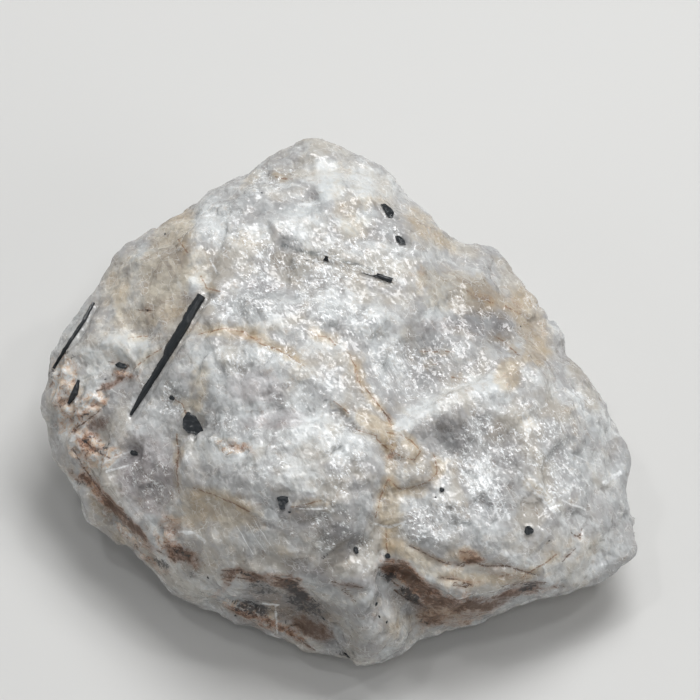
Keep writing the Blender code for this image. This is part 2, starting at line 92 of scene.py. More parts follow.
# Fine brown seams in the feldspar, traced: each a line of the photograph's pixels
VEINS = (
    ((246, 332), (262, 344), (282, 351), (302, 364)),
    ((204, 334), (226, 328), (246, 332)),
    ((314, 336), (328, 337), (333, 343)),
    ((348, 352), (356, 366), (358, 380), (366, 388), (374, 398), (384, 412), (390, 424)),
    ((390, 432), (400, 433), (410, 440), (420, 450), (414, 459), (404, 457), (394, 450), (390, 440)),
    ((356, 428), (366, 432), (372, 434)),
    ((378, 440), (388, 448), (396, 455)),
    ((434, 457), (436, 472), (428, 480), (408, 487), (398, 488), (388, 478)),
    ((387, 478), (380, 496), (376, 512)),
    ((386, 532), (387, 552)),
    ((336, 402), (346, 410)),
    ((172, 397), (184, 404), (188, 414)),
    ((178, 438), (180, 456), (178, 468), (180, 488)),
    ((198, 488), (214, 493), (236, 502), (248, 508)),
    ((296, 504), (312, 501), (320, 498)),
    ((203, 280), (207, 288), (218, 290)),
    ((132, 338), (146, 336)),
    ((137, 366), (148, 358), (160, 350)),
    ((424, 351), (450, 352)),
    ((426, 366), (434, 364)),
    ((454, 377), (462, 378)),
    ((522, 574), (546, 560), (552, 556)),
    ((498, 338), (506, 344), (514, 352)),
    ((506, 306), (518, 312)),
    ((470, 292), (490, 302)),
    ((276, 176), (288, 178)),
    ((180, 242), (186, 250)),
)

# Thin dark brown cracks, in pixels too
CRACKS = (
    ((410, 544), (426, 552), (440, 560), (452, 564)),
    ((462, 560), (474, 560), (486, 564), (504, 564), (516, 567), (530, 572)),
    ((448, 560), (462, 564)),
    ((440, 576), (458, 578), (470, 583)),
    ((454, 583), (464, 585)),
    ((500, 594), (520, 588), (534, 590)),
    ((505, 584), (525, 581), (542, 582)),
    ((574, 534), (578, 537), (580, 532)),
    ((564, 558), (572, 550)),
    ((226, 569), (246, 568), (260, 574)),
    ((240, 576), (256, 578)),
    ((276, 574), (292, 578)),
    ((334, 579), (346, 582), (358, 584)),
    ((345, 590), (352, 596)),
    ((382, 566), (400, 570), (416, 577)),
    ((384, 576), (398, 584), (416, 590)),
    ((396, 590), (410, 600), (424, 606)),
    ((420, 585), (438, 592), (452, 600)),
    ((100, 390), (110, 386), (122, 380)),
    ((74, 430), (88, 420), (102, 408)),
    ((86, 442), (96, 452), (109, 457)),
    ((384, 412), (390, 420)),
    ((140, 310), (150, 310)),
    ((168, 556), (184, 560)),
    ((112, 362), (128, 364), (124, 372)),
    ((300, 640), (312, 648)),
    ((88, 475), (110, 505), (130, 520), (150, 545), (175, 560)),
    ((74, 452), (88, 475)),
)

# Ledges: lines along which the surface steps, in pixels, and how far the side to their left stands up, in
# millimetres
LEDGES = (
    (((198, 380), (206, 358), (222, 346), (258, 346), (284, 353), (306, 366), (322, 384), (324, 398)), -0.55),
    (((192, 338), (222, 327), (246, 333), (262, 343)), -0.35),
    (((203, 432), (222, 440), (246, 453), (264, 446), (290, 428), (320, 418), (330, 402)), -0.5),
    (((330, 402), (345, 412), (362, 428), (378, 437), (388, 446)), 0.5),
    (((390, 432), (402, 434), (413, 443), (420, 450), (413, 459), (401, 457), (391, 452)), -0.3),
    (((388, 460), (412, 461), (434, 459), (436, 476), (420, 484), (396, 487)), -0.3),
    (((376, 516), (384, 523), (400, 521), (406, 510)), 0.25),
    (((386, 557), (404, 566), (424, 577), (444, 589), (461, 597)), 0.35),
    (((461, 597), (490, 591), (505, 585), (525, 581), (548, 583)), 0.35),
    (((228, 569), (250, 567), (262, 574), (285, 573), (300, 579), (320, 585), (338, 580), (352, 583)), 0.4),
    (((186, 430), (179, 440), (182, 458), (177, 470), (181, 492)), 0.4),
    (((200, 487), (214, 494), (240, 503), (262, 515)), 0.25),
    (((196, 215), (197, 235), (188, 250), (183, 265), (185, 282), (204, 292)), 0.15),
    (((307, 154), (314, 178), (323, 207)), 0.3),
    (((330, 150), (345, 172), (358, 194)), -0.25),
    (((392, 420), (430, 402), (455, 391), (497, 378)), -0.3),
    (((520, 472), (534, 490), (552, 508)), 0.3),
    (((70, 410), (88, 402), (106, 394)), 0.5),
    (((62, 348), (88, 340), (112, 334), (132, 338)), -0.4),
    (((437, 418), (443, 440), (456, 455), (466, 452)), 0.35),
    (((462, 452), (478, 480), (492, 512)), 0.35),
    (((505, 300), (504, 325), (512, 345)), 0.35),
)
LEDGE_RISER = 0.24  # half the width of the steep part, in millimetres
LEDGE_REACH = 3.4  # how far from its line a ledge fades away

# Painted highlights, bright lines where cleavage catches the light: lines in pixels, and half the width of each in
# millimetres
GLINT_BARS = (
    (((469, 460), (480, 480), (492, 502), (497, 516)), 0.22),
    (((478, 462), (494, 490), (506, 514)), 0.2),
    (((486, 476), (498, 498)), 0.16),
    (((462, 470), (472, 490), (478, 506)), 0.14),
    (((520, 473), (532, 490), (550, 508)), 0.26),
    (((540, 486), (556, 508)), 0.14),
    (((564, 500), (582, 508)), 0.14),
    (((576, 392), (590, 402)), 0.22),
    (((606, 482), (620, 474)), 0.3),
    (((564, 466), (576, 478)), 0.14),
    (((183, 531), (196, 532), (204, 538)), 0.22),
    (((265, 603), (276, 604), (277, 630)), 0.12),
    (((378, 522), (388, 525), (402, 521)), 0.14),
    (((103, 462), (118, 456), (131, 452)), 0.2),
    (((110, 470), (126, 466)), 0.14),
    (((302, 205), (316, 204)), 0.35),
    (((304, 506), (322, 507)), 0.12),
    (((461, 596), (490, 590), (506, 584)), 0.08),
    (((522, 416), (527, 428)), 0.3),
    (((575, 456), (590, 462)), 0.1),
    (((240, 527), (252, 548)), 0.05),
    (((250, 524), (264, 546)), 0.05),
    (((258, 522), (270, 540)), 0.06),
    (((212, 262), (216, 270)), 0.16),
)

# Pale lines across the crystals, and pale spots in them, in millimetres again
CRYSTAL_LINES = (
    ((-20.8, 9.2), (-19.6, 8.6)),
    ((-22.0, 6.9), (-20.8, 6.2)),
    ((-32.6, 10.6), (-31.6, 10.0)),
    ((-19.4, -3.2), (-18.7, -2.2), (-17.8, -2.4)),
    ((-18.9, -3.9), (-18.2, -3.4), (-17.2, -3.6)),
)
CRYSTAL_SPOTS = (
    ((-6.9, -12.4), (0.36, 0.3), 30, 1.0),
    ((-18.7, -2.9), (0.3, 0.2), 0, 0.6),
    ((23.4, -16.2), (0.26, 0.2), 0, 0.5),
    ((-33.3, 0.9), (0.2, 0.3), 0, 0.4),
)

# Black specks: place (u, v) and half length
SPECKS = (
    ((4.5, -25.2), 0.32),
    ((0.9, -31.8), 0.42),
    ((4.9, -26.8), 0.2),
    ((5.8, -27.5), 0.2),
    ((-6.2, -13.7), 0.22),
    ((-2.0, -27.2), 0.24),
    ((-16.4, -22.0), 0.22),
    ((-22.0, 20.8), 0.2),
    ((-29.4, 2.6), 0.2),
    ((-24.0, 11.2), 0.16),
    ((22.6, 9.2), 0.16),
    ((11.8, -11.9), 0.14),
    ((-13.1, -27.0), 0.22),
    ((26.0, -17.4), 0.14),
)
HIDDEN_SPECKS = 26
HIDDEN_SPECK = 0.35
SPECK_TURN = 2.4  # from one speck to the next, in radians
ABOVE_THE_STONE = 80  # where rays onto the stone start, in millimetres

NOISE_SEED = 7  # noise_vector takes its pattern from the clock unless it is given a seed

# Where the skin of the stone has grown over a crystal, which shows through as a shade
VEILS = (
    ((-7.1, 19.4), (-4.4, 18.6), (-2.6, 18.1)),
    ((-0.7, 17.6), (4.1, 16.3)),
)

VEIL_REACH = 0.9

# Patches of one look: (middle u, v), (half length, half width), turn in degrees, strength
# Milky feldspar, and painted highlights: some patches paint the light caught by lit edges
MILKY_AND_LIT = (
    ((0.5, 27.6), (5.5, 3.4), -25, 0.8),
    ((-1.2, 27.0), (2.0, 3.4), 14, 0.8),
    ((3.4, 26.8), (1.6, 2.4), 0, 0.9),
    ((6.0, 26.6), (1.4, 1.6), 0, 0.7),
    ((-3.8, 24.4), (1.0, 0.5), 6, 1.0),
    ((-15.8, 22.2), (2.6, 3.2), 0, 1.1),
    ((-12.0, 20.4), (3.4, 1.8), 20, 0.8),
    ((-6.0, 21.6), (6.0, 2.0), 8, 0.7),
    ((-17.6, 16.4), (1.6, 2.6), 0, 1.0),
    ((1.8, 22.4), (2.6, 1.6), 0, 0.9),
    ((-13.0, 9.4), (8.0, 1.6), 4, 0.5),
    # Painted highlight along the lit upper edge of the main block, here and in the next patch
    ((-11.0, 5.6), (5.4, 1.1), -4, 1.3),
    ((-4.6, 4.0), (2.4, 1.0), -30, 0.9),
    ((-1.8, 6.8), (2.8, 1.4), 0, 0.7),
    ((2.4, 11.0), (6.5, 3.0), -12, 0.5),
    ((6.6, 7.6), (1.8, 0.6), 30, 0.9),
    ((10.8, 10.0), (1.6, 0.7), 10, 0.8),
    ((-28.0, 6.4), (4.6, 2.0), 0, 0.9),
    ((-27.4, 12.4), (1.0, 2.2), -10, 1.2),
    ((-12.5, -6.4), (6.0, 1.8), -8, 1.0),
    ((-1.5, -4.8), (5.6, 3.0), -10, 1.0),
    ((-4.6, -2.8), (5.0, 1.0), 15, 0.7),
    ((-8.0, -9.0), (4.0, 2.0), 30, 0.5),
    ((-4.0, -9.4), (2.4, 2.6), 60, 0.7),
    ((10.6, -1.2), (5.2, 1.3), 24, 1.3),
    ((17.4, 1.8), (4.2, 1.7), 18, 1.1),
    ((18.2, -11.2), (1.5, 4.6), 30, 0.35),
    ((-9.0, 0.6), (6.0, 3.4), 0, 0.75),
    ((31.0, -18.4), (5.4, 3.4), 10, 0.5),
    ((-27.6, 5.6), (5.0, 3.4), 0, 0.5),
    ((-29.4, 6.4), (4.6, 1.8), 0, 0.6),
    ((-32.0, -0.6), (4.0, 5.0), 0, 0.6),
    # Painted highlight along the lit upper edge of the main block
    ((-16.2, 4.2), (2.6, 0.9), 52, 1.0),
    ((-25.0, -13.4), (4.6, 0.5), -50, 0.9),
    ((-25.0, 13.0), (4.0, 6.0), -10, 0.3),
    ((-24.0, -10.0), (4.4, 5.4), 8, 0.25),
    ((13.6, -21.4), (6.4, 1.6), -8, 1.3),
    ((24.6, -11.4), (1.2, 3.0), 42, 0.9),
    ((23.6, -2.6), (1.4, 1.0), 0, 1.1),
    ((30.4, 0.3), (1.4, 0.9), -30, 0.8),
    ((34.2, -9.9), (1.4, 1.0), 0, 0.9),
    ((8.6, -5.6), (1.6, 1.0), -35, 1.2),
    ((9.4, -8.6), (1.8, 0.9), 0, 0.7),
    ((6.2, -14.2), (1.6, 1.1), 0, 0.8),
    ((9.5, -12.6), (4.0, 1.6), 10, 0.5),
    ((13.0, -16.0), (4.4, 2.2), -10, 0.4),
    ((7.5, -18.4), (3.0, 1.2), -10, 0.6),
    ((23.0, -20.2), (2.4, 0.9), -10, 0.9),
    ((30.0, -21.8), (5.0, 0.8), 12, 0.7),
    ((-18.2, -16.8), (1.6, 0.5), -14, 1.2),
    ((-1.8, -17.6), (1.2, 1.2), 0, 0.9),
    ((0.8, -21.4), (0.7, 0.5), 0, 1.3),
    ((4.6, -20.0), (0.7, 0.9), 0, 1.1),
    ((3.6, -17.0), (1.0, 1.6), -40, 0.7),
    ((-8.4, -27.2), (0.5, 1.7), 4, 1.2),
    ((-9.0, -25.4), (1.1, 0.35), 0, 0.9),
    ((2.5, -28.6), (4.0, 1.4), -8, 0.5),
    ((-17.8, -23.6), (2.6, 1.2), -30, 0.8),
    ((-33.0, -1.0), (1.8, 0.6), 22, 1.2),
    ((-30.6, -8.2), (2.0, 0.6), 28, 0.9),
    ((-34.6, -3.4), (2.2, 1.6), -20, 0.6),
    ((-28.0, -7.4), (2.4, 0.5), 25, 1.3),
    ((-34.6, 3.4), (1.4, 1.6), 0, 0.8),
    ((-29.6, -12.8), (2.0, 0.7), -52, 0.7),
)
# Partly painted shade: dark washes over the hollows, the grooves, the bottom and the tip, where shade falls;
# partly the deeper grey of clear feldspar
DEEP_AND_SHADED = (
    ((-3.4, 25.6), (1.0, 2.0), 14, 0.8),
    ((-5.6, 17.4), (5.0, 1.6), -10, 0.7),
    ((-10.0, 13.6), (2.8, 1.0), 0, 0.7),
    ((-18.0, 12.0), (2.0, 1.0), -30, 0.6),
    ((7.0, 20.2), (2.0, 1.6), -30, 0.6),
    ((10.6, 6.6), (3.4, 3.4), 30, 0.9),
    ((11.0, 3.0), (2.6, 1.6), 0, 0.7),
    ((14.0, -4.0), (2.4, 2.8), 20, 1.2),
    ((10.2, -2.8), (2.0, 1.0), -30, 0.6),
    ((17.0, 9.6), (3.4, 1.6), -10, 0.8),
    ((18.6, -3.0), (3.0, 2.4), -20, 0.7),
    ((21.4, -6.0), (2.4, 3.0), 20, 0.6),
    ((0.8, -2.4), (3.4, 0.7), -42, 1.2),
    ((-0.4, -1.6), (1.2, 0.8), 0, 0.6),
    ((-24.0, -9.0), (4.2, 6.0), 8, 0.55),
    ((-21.6, -1.0), (1.4, 3.0), 0, 0.5),
    ((-26.0, 1.0), (2.6, 1.4), 30, 0.5),
    ((-30.4, 7.2), (2.0, 1.0), 0, 0.6),
    ((-4.2, -14.6), (6.0, 1.8), -20, 1.0),
    ((0.4, -17.4), (3.6, 2.4), 20, 1.0),
    ((-12.0, -18.6), (3.6, 1.6), -20, 0.7),
    ((-1.0, -20.0), (3.0, 0.6), 30, 0.8),
    ((-4.6, -21.0), (4.4, 1.2), -14, 0.8),
    ((-8.4, -24.4), (4.6, 2.2), -16, 1.6),
    ((-3.4, -26.4), (4.2, 2.0), -16, 1.5),
    ((3.4, -24.6), (1.8, 2.4), 10, 0.6),
    ((8.6, -25.4), (1.8, 2.6), 40, 1.2),
    ((-18.4, -20.8), (1.6, 1.8), 0, 0.9),
    ((-22.0, 17.2), (3.2, 5.4), -14, 0.6),
    ((-19.4, 11.4), (1.4, 2.6), -30, 0.4),
    ((-30.6, -3.0), (2.4, 1.4), 30, 1.0),
    ((-35.8, -3.0), (1.0, 1.4), 0, 1.0),
    ((-27.8, -15.4), (6.6, 0.8), -50, 1.2),
    ((18.4, -25.0), (4.6, 1.0), 12, 1.0),
    ((1.6, -28.6), (5.4, 3.6), -6, 0.9),
    ((17.0, 8.4), (5.0, 3.4), -10, 0.6),
    ((15.6, 13.8), (5.4, 2.6), -14, 0.7),
    ((22.0, -13.0), (6.0, 5.0), 20, 0.4),
    ((17.6, -10.0), (3.6, 5.6), 30, 0.4),
    ((11.0, -15.4), (5.4, 3.0), 0, 0.35),
    ((21.6, 8.4), (3.6, 4.4), 30, 0.6),
    ((-3.4, -29.0), (4.0, 1.2), -20, 0.9),
)
ROSY = (
    ((-8.0, -2.2), (5.4, 1.5), 6, 0.9),
    ((-10.0, 1.4), (5.0, 2.4), 0, 0.9),
    ((-24.0, -9.0), (4.4, 6.2), 10, 1.1),
    ((-9.6, 14.2), (3.4, 1.0), 0, 0.7),
    ((-31.6, -2.8), (3.0, 1.6), 10, 0.8),
    ((-19.0, 9.6), (3.0, 1.0), -10, 0.5),
    ((17.5, -13.2), (3.0, 2.4), 0, 0.4),
    ((12.0, 9.4), (2.6, 1.4), 20, 0.6),
    ((-10.0, -28.8), (6.0, 1.0), -24, 0.6),
    ((-3.6, -20.0), (5.0, 2.0), -10, 0.3),
    ((16.0, 8.6), (3.4, 1.4), 0, 0.4),
    ((3.4, -22.0), (2.0, 1.6), 0, 0.4),
)
CREAM = (
    ((-21.6, 18.0), (3.4, 6.4), -16, 1.3),
    ((-20.0, 22.4), (1.8, 2.4), 10, 1.3),
    ((-19.2, 15.8), (0.7, 2.6), 6, 1.2),
    ((-27.4, 15.6), (2.0, 4.0), -25, 0.7),
    ((-22.0, 12.0), (4.0, 2.4), 10, 0.9),
    ((-25.8, 9.8), (3.4, 1.4), 0, 0.7),
    ((-27.4, 12.4), (1.1, 2.2), -10, 0.9),
    ((-11.2, 27.6), (1.8, 1.0), 50, 0.8),
    ((-12.6, 20.2), (3.0, 1.4), 0, 0.5),
    ((-17.4, 16.6), (1.6, 2.4), 0, 0.8),
    ((1.4, 21.6), (3.0, 1.8), 0, 0.9),
    ((2.6, 24.4), (4.0, 0.9), 15, 0.9),
    ((0.0, 27.2), (2.0, 3.0), 10, 0.45),
    ((-13.4, 8.6), (5.4, 1.0), 0, 1.1),
    ((-7.6, 6.6), (4.6, 0.9), -26, 1.2),
    ((-2.0, 7.8), (2.2, 0.9), -20, 0.8),
    ((-17.4, 1.6), (1.2, 3.6), -10, 1.0),
    ((-18.6, -0.4), (1.6, 0.9), -35, 0.7),
    ((10.8, 21.6), (3.4, 1.5), -42, 1.2),
    ((13.6, 19.2), (2.0, 1.2), -20, 0.8),
    ((10.2, 15.8), (0.7, 1.8), 10, 0.7),
    ((18.0, 12.8), (3.6, 1.8), -20, 0.9),
    ((14.6, 13.6), (6.4, 3.2), -16, 1.0),
    ((23.8, 10.4), (2.2, 4.4), 32, 1.3),
    ((24.6, 5.8), (2.0, 1.8), 20, 1.2),
    ((20.8, 2.8), (2.0, 1.8), -30, 1.4),
    ((22.0, 4.8), (3.0, 0.8), 20, 0.9),
    ((23.2, -2.8), (1.2, 1.2), 0, 0.8),
    ((28.8, -1.2), (0.8, 0.8), 0, 0.6),
    ((29.6, -5.6), (0.9, 0.9), 0, 0.5),
    ((24.6, -11.4), (1.1, 2.8), 42, 0.8),
    ((2.6, 3.6), (0.9, 2.6), 10, 1.0),
    ((4.0, 0.2), (1.8, 0.8), -50, 1.1),
    ((3.9, -2.9), (2.8, 1.2), -44, 1.6),
    ((5.9, -4.6), (1.0, 2.2), 0, 1.6),
    ((8.8, -5.8), (2.2, 1.2), -35, 1.0),
    ((6.2, -8.0), (1.0, 2.4), 0, 1.0),
    ((9.6, -8.6), (3.0, 2.0), 0, 0.5),
    ((6.0, -12.2), (1.6, 2.8), 0, 1.4),
    ((6.6, -14.8), (2.2, 1.4), 0, 1.1),
    ((6.4, -17.2), (1.4, 2.0), 0, 0.9),
    ((9.2, -11.2), (2.8, 0.7), 12, 0.9),
    ((12.2, -8.6), (0.8, 2.0), -5, 0.9),
    ((14.0, -8.2), (1.8, 1.2), 0, 0.6),
    ((-14.4, -13.4), (5.4, 2.3), -15, 1.4),
    ((-19.4, -15.0), (2.6, 1.0), 0, 0.8),
    ((-13.6, -5.4), (2.2, 1.0), -20, 0.9),
    ((-6.6, -18.6), (1.8, 0.8), -15, 0.8),
    ((-2.4, -12.6), (2.4, 0.7), 10, 0.5),
    ((0.4, -19.8), (2.4, 0.5), 20, 0.4),
    ((-32.8, 0.0), (3.6, 4.6), 10, 0.4),
    ((-29.4, -7.4), (3.6, 1.0), 28, 1.1),
    ((-34.4, -8.4), (2.0, 1.6), -50, 0.6),
    ((-28.0, -18.0), (5.0, 0.8), -45, 0.6),
    ((12.0, -20.8), (6.0, 1.6), -14, 0.9),
    ((8.8, -18.6), (3.6, 1.4), -25, 1.0),
    ((15.6, -22.6), (5.0, 1.4), 4, 0.8),
    ((-25.0, 9.0), (9.0, 9.0), -20, 0.4),
    ((-18.0, -16.0), (9.0, 6.0), -40, 0.4),
    ((10.0, -28.0), (9.0, 2.4), 14, 0.5),
    ((22.0, -21.8), (4.4, 0.9), 4, 0.8),
    ((13.6, -26.4), (6.0, 1.2), 12, 0.6),
    ((-5.0, -25.6), (8.0, 3.4), -20, 0.7),
    ((-27.8, -15.6), (8.0, 1.6), -48, 0.8),
    ((15.2, -19.0), (2.4, 1.0), -10, 1.2),
    ((-8.4, -27.0), (0.8, 1.6), 0, 0.7),
    ((-11.4, -27.4), (4.4, 0.9), -26, 0.7),
    ((5.6, -26.4), (1.4, 3.0), 30, 0.6),
    ((1.6, -24.0), (3.0, 1.6), -30, 0.5),
    ((30.0, -3.4), (1.4, 1.4), 0, 0.3),
    ((29.4, -12.4), (0.9, 0.7), 45, 0.6),
    ((29.0, -18.4), (5.0, 2.4), 10, 0.35),
)
RUSTY = (
    ((14.6, -27.0), (6.4, 1.3), 14, 0.9),
    ((-6.4, -26.4), (7.0, 3.0), -20, 0.5),
    ((-33.6, -2.6), (2.4, 0.7), 26, 0.8),
    ((-30.8, -0.6), (2.6, 0.35), 26, 1.0),
    ((-30.4, -3.2), (2.2, 1.0), 35, 0.9),
    ((-32.0, -5.2), (1.4, 1.1), 20, 1.1),
    ((-31.0, -6.4), (2.0, 0.7), 30, 1.0),
    ((-27.2, 3.0), (1.8, 0.7), -10, 1.0),
    ((-28.6, 1.9), (2.0, 0.5), 30, 1.1),
    ((-25.6, 3.0), (1.2, 0.5), 50, 0.6),
    ((-33.0, -9.4), (2.2, 0.7), -40, 0.9),
    ((-30.2, -11.6), (3.6, 0.9), -50, 1.1),
    ((-27.0, -14.6), (3.6, 0.8), -46, 1.2),
    ((-24.6, -17.4), (2.8, 0.7), -48, 0.9),
    ((-20.0, -7.2), (0.4, 1.4), 0, 0.9),
    ((-21.0, -15.6), (2.4, 1.6), -40, 0.8),
    ((-20.4, -19.0), (2.0, 1.2), -40, 1.5),
    ((-18.4, -19.8), (1.6, 1.0), -35, 1.0),
    ((-23.0, -20.6), (2.6, 0.8), -45, 0.7),
    ((-13.4, -21.4), (2.0, 0.6), 25, 1.1),
    ((-11.0, -21.8), (1.8, 0.7), -10, 1.2),
    ((-14.6, -23.2), (0.5, 2.2), -38, 0.9),
    ((-8.0, -22.0), (3.0, 0.7), -14, 1.0),
    ((-5.6, -23.2), (2.8, 1.2), -40, 1.2),
    ((-3.4, -28.6), (3.2, 1.2), -20, 1.1),
    ((-9.4, -27.8), (6.0, 0.7), -24, 1.0),
    ((-12.8, -26.6), (2.4, 0.5), -26, 0.8),
    ((1.0, -22.7), (2.0, 0.5), -10, 0.8),
    ((7.2, -21.2), (2.8, 1.5), -32, 1.5),
    ((10.4, -23.2), (4.0, 1.1), -34, 1.4),
    ((10.6, -25.8), (3.0, 1.8), -50, 1.0),
    ((14.4, -25.4), (3.6, 1.1), -4, 1.1),
    ((18.8, -24.9), (3.4, 1.0), 12, 1.1),
    ((22.6, -23.6), (3.0, 0.8), 12, 1.2),
    ((26.0, -23.6), (3.0, 0.5), 14, 0.6),
    ((15.6, -22.4), (3.4, 0.6), -12, 0.6),
    ((20.0, -21.4), (4.0, 0.5), -12, 0.6),
    ((15.8, -19.2), (1.8, 0.7), -12, 1.1),
    ((17.0, -19.8), (1.4, 0.4), 0, 1.0),
    ((6.3, -6.6), (0.7, 0.6), 0, 1.1),
    ((10.2, 16.2), (0.5, 1.0), 20, 0.7),
    ((-12.6, -5.6), (2.2, 0.6), -25, 0.9),
    ((-11.6, 8.2), (2.6, 0.4), -20, 0.8),
    ((2.2, 3.2), (0.4, 2.0), 10, 0.7),
    ((17.6, 13.0), (2.0, 0.5), -24, 0.6),
    ((21.6, 12.4), (1.6, 0.4), -30, 0.6),
    ((4.6, -26.6), (0.7, 0.3), 0, 0.6),
)
SOOTY = (
    ((23.3, -23.2), (1.5, 0.6), 12, 1.5),
    ((6.2, -22.0), (1.3, 0.8), -30, 1.5),
    ((8.9, -24.4), (1.7, 0.9), -50, 1.4),
    ((10.4, -27.6), (0.8, 0.5), 0, 0.9),
    ((-5.4, -23.4), (1.8, 1.0), -40, 1.4),
    ((-4.2, -25.4), (3.4, 1.5), -24, 1.2),
    ((-11.2, -25.8), (2.8, 0.9), -12, 1.5),
    ((-9.6, -23.2), (2.2, 1.2), -10, 0.8),
    ((-6.0, -28.0), (1.0, 0.8), 0, 0.5),
    ((-11.0, -21.7), (1.4, 0.3), -8, 1.1),
    ((-7.0, -21.9), (0.9, 0.3), -14, 0.9),
    ((0.9, -31.6), (1.2, 0.6), -10, 0.8),
    ((-31.6, -4.9), (1.2, 0.35), 28, 1.0),
    ((-29.6, -6.0), (1.8, 0.3), 32, 1.3),
    ((-32.0, -2.0), (1.8, 0.3), 26, 1.0),
    ((-26.8, 4.4), (0.9, 0.3), -6, 0.8),
    ((-33.6, 5.3), (0.6, 0.4), 0, 0.9),
    ((-36.4, 3.8), (0.5, 1.8), 0, 0.8),
    ((-26.6, -14.6), (0.8, 0.4), -40, 0.9),
    ((-32.6, -10.4), (0.9, 0.5), -40, 0.8),
    ((-22.4, -20.4), (1.4, 0.7), -30, 1.2),
    ((-19.6, -19.2), (1.2, 0.5), -30, 0.9),
    ((-18.4, -21.6), (0.25, 1.0), -30, 0.9),
    ((-1.4, -18.9), (1.2, 0.25), 45, 1.1),
    ((-4.8, 17.6), (3.0, 0.4), -20, 0.6),
)

# Where the feldspar glitters, with glints painted in its colour and a more broken surface, and where it is
# crumbly: patches again
GLITTERING = (
    ((-14.8, 22.0), (3.6, 3.2), 10, 1.1),
    ((-9.2, 27.6), (3.6, 2.4), 30, 0.9),
    ((-8.0, 20.4), (6.0, 2.0), 10, 0.8),
    ((-9.0, 16.0), (4.0, 3.4), 0, 0.9),
    ((-1.6, 16.6), (4.4, 2.8), -15, 1.4),
    ((5.6, 17.0), (3.2, 2.2), 0, 1.0),
    ((6.0, 22.0), (2.4, 1.6), 0, 0.6),
    ((1.6, 19.6), (3.6, 1.2), 0, 0.7),
    ((-12.0, 11.6), (6.0, 2.0), -2, 1.2),
    ((-3.0, 13.0), (4.0, 2.6), -2, 1.0),
    ((1.4, 10.2), (5.4, 2.8), -12, 0.9),
    ((-10.6, 5.6), (7.0, 1.4), -4, 1.1),
    ((-6.0, 0.8), (5.0, 2.6), 0, 0.8),
    ((-13.0, 3.6), (2.6, 2.0), 0, 0.7),
    ((-11.4, -3.4), (6.0, 1.6), -10, 0.9),
    ((-14.0, -5.6), (3.4, 1.0), -20, 1.1),
    ((0.4, -6.4), (3.4, 5.2), 0, 1.0),
    ((-8.0, -8.4), (4.0, 2.4), 0, 0.7),
    ((7.4, 4.2), (3.8, 4.4), 20, 1.0),
    ((16.6, -2.0), (5.0, 1.6), 24, 0.5),
    ((18.0, -5.4), (5.0, 3.0), -30, 1.1),
    ((12.0, 1.4), (6.0, 1.8), 24, 0.5),
    ((17.8, -11.2), (2.4, 5.8), 30, 1.2),
    ((12.0, -14.8), (5.6, 3.2), 15, 1.1),
    ((9.2, -8.8), (2.6, 1.4), 0, 0.8),
    ((25.6, -5.0), (5.0, 5.6), 30, 0.9),
    ((30.0, 0.0), (2.0, 1.4), -30, 0.9),
    ((28.0, -12.0), (3.4, 3.8), 20, 0.7),
    ((16.0, 12.0), (6.0, 4.4), -20, -0.8),
    ((24.0, 12.0), (1.4, 2.0), 30, 0.5),
    ((21.6, 19.0), (2.0, 1.6), 0, 0.5),
    ((-20.6, 0.2), (2.0, 3.0), 0, 0.9),
    ((-29.0, 2.0), (3.6, 2.4), 0, 0.3),
    ((-1.2, -14.6), (3.6, 3.6), 0, 0.7),
    ((-2.0, -17.6), (1.6, 1.2), 0, 0.8),
    ((-24.0, -10.4), (3.4, 4.4), 0, 0.6),
    ((3.0, -18.6), (1.8, 3.0), 10, 0.7),
    ((4.0, -24.0), (2.4, 2.0), 0, 0.3),
    ((-14.2, -13.8), (5.6, 2.4), -16, -1.2),
    ((-21.6, 17.0), (3.6, 8.0), -14, -1.0),
    ((29.8, -19.0), (6.0, 3.0), 12, -1.2),
    ((-0.6, 27.4), (2.4, 3.2), 14, -0.8),
    ((15.0, 9.4), (4.6, 2.4), -10, -0.5),
    ((3.9, -2.9), (2.4, 1.4), -44, -0.9),
    ((14.0, -4.0), (1.8, 2.6), 15, -1.0),
    ((-8.4, -2.4), (4.4, 0.9), 6, -0.7),
    ((19.0, -15.4), (3.4, 1.6), 0, -0.5),
    ((12.6, -21.4), (6.0, 1.6), -12, -0.6),
)
CRUMBLY = (
    ((-34.4, 1.4), (2.2, 4.8), 8, 1.3),
    ((-31.6, -0.6), (3.0, 1.2), 24, 1.4),
    ((-33.4, -3.0), (2.6, 1.6), 20, 1.1),
    ((-32.0, -5.8), (3.2, 1.8), 25, 1.0),
    ((-29.6, -7.4), (3.4, 1.2), 28, 1.1),
    ((-31.0, -11.0), (3.6, 0.9), -50, 0.8),
    ((-26.0, -17.6), (6.0, 0.9), -46, 0.7),
    ((-13.2, -5.6), (2.6, 1.0), -15, 0.9),
    ((-9.0, -27.6), (7.0, 1.2), -24, 0.8),
    ((-12.0, -26.0), (3.0, 1.0), -20, 0.7),
    ((-27.0, 3.2), (1.8, 0.9), -10, 0.7),
    ((24.0, 9.6), (2.4, 4.2), 32, 0.35),
    ((20.6, 2.8), (1.6, 1.4), 0, 0.5),
    ((8.4, -22.4), (4.4, 2.0), -35, 0.8),
    ((14.0, -24.8), (4.0, 1.4), 0, 0.6),
    ((11.4, 21.0), (2.4, 1.0), -42, 0.5),
    ((-21.4, -17.8), (2.6, 2.0), -40, 0.7),
)


def sight_axes():
    """The directions of u, v and w in the frame."""
    rise, run = math.sin(SIGHT_ELEVATION), math.cos(SIGHT_ELEVATION)
    return Vector((1, 0, 0)), Vector((0, rise, run)), Vector((0, -run, rise))


def stand(u, v, w):
    """A place in the view, in the frame, in metres."""
    right, up, near = sight_axes()
    point = right * u + up * v + near * w
    return (point + Vector((BOX_SHIFT_X, BOX_SHIFT_Y, FLAT_SPOT_DEPTH))) * MM


def seen_places(places):
    """Places in metres, as rows, turned into u, v and w."""
    axes = np.array(sight_axes())
    shift = np.array((BOX_SHIFT_X, BOX_SHIFT_Y, FLAT_SPOT_DEPTH))
    return ((places / MM - shift) @ axes.T).T


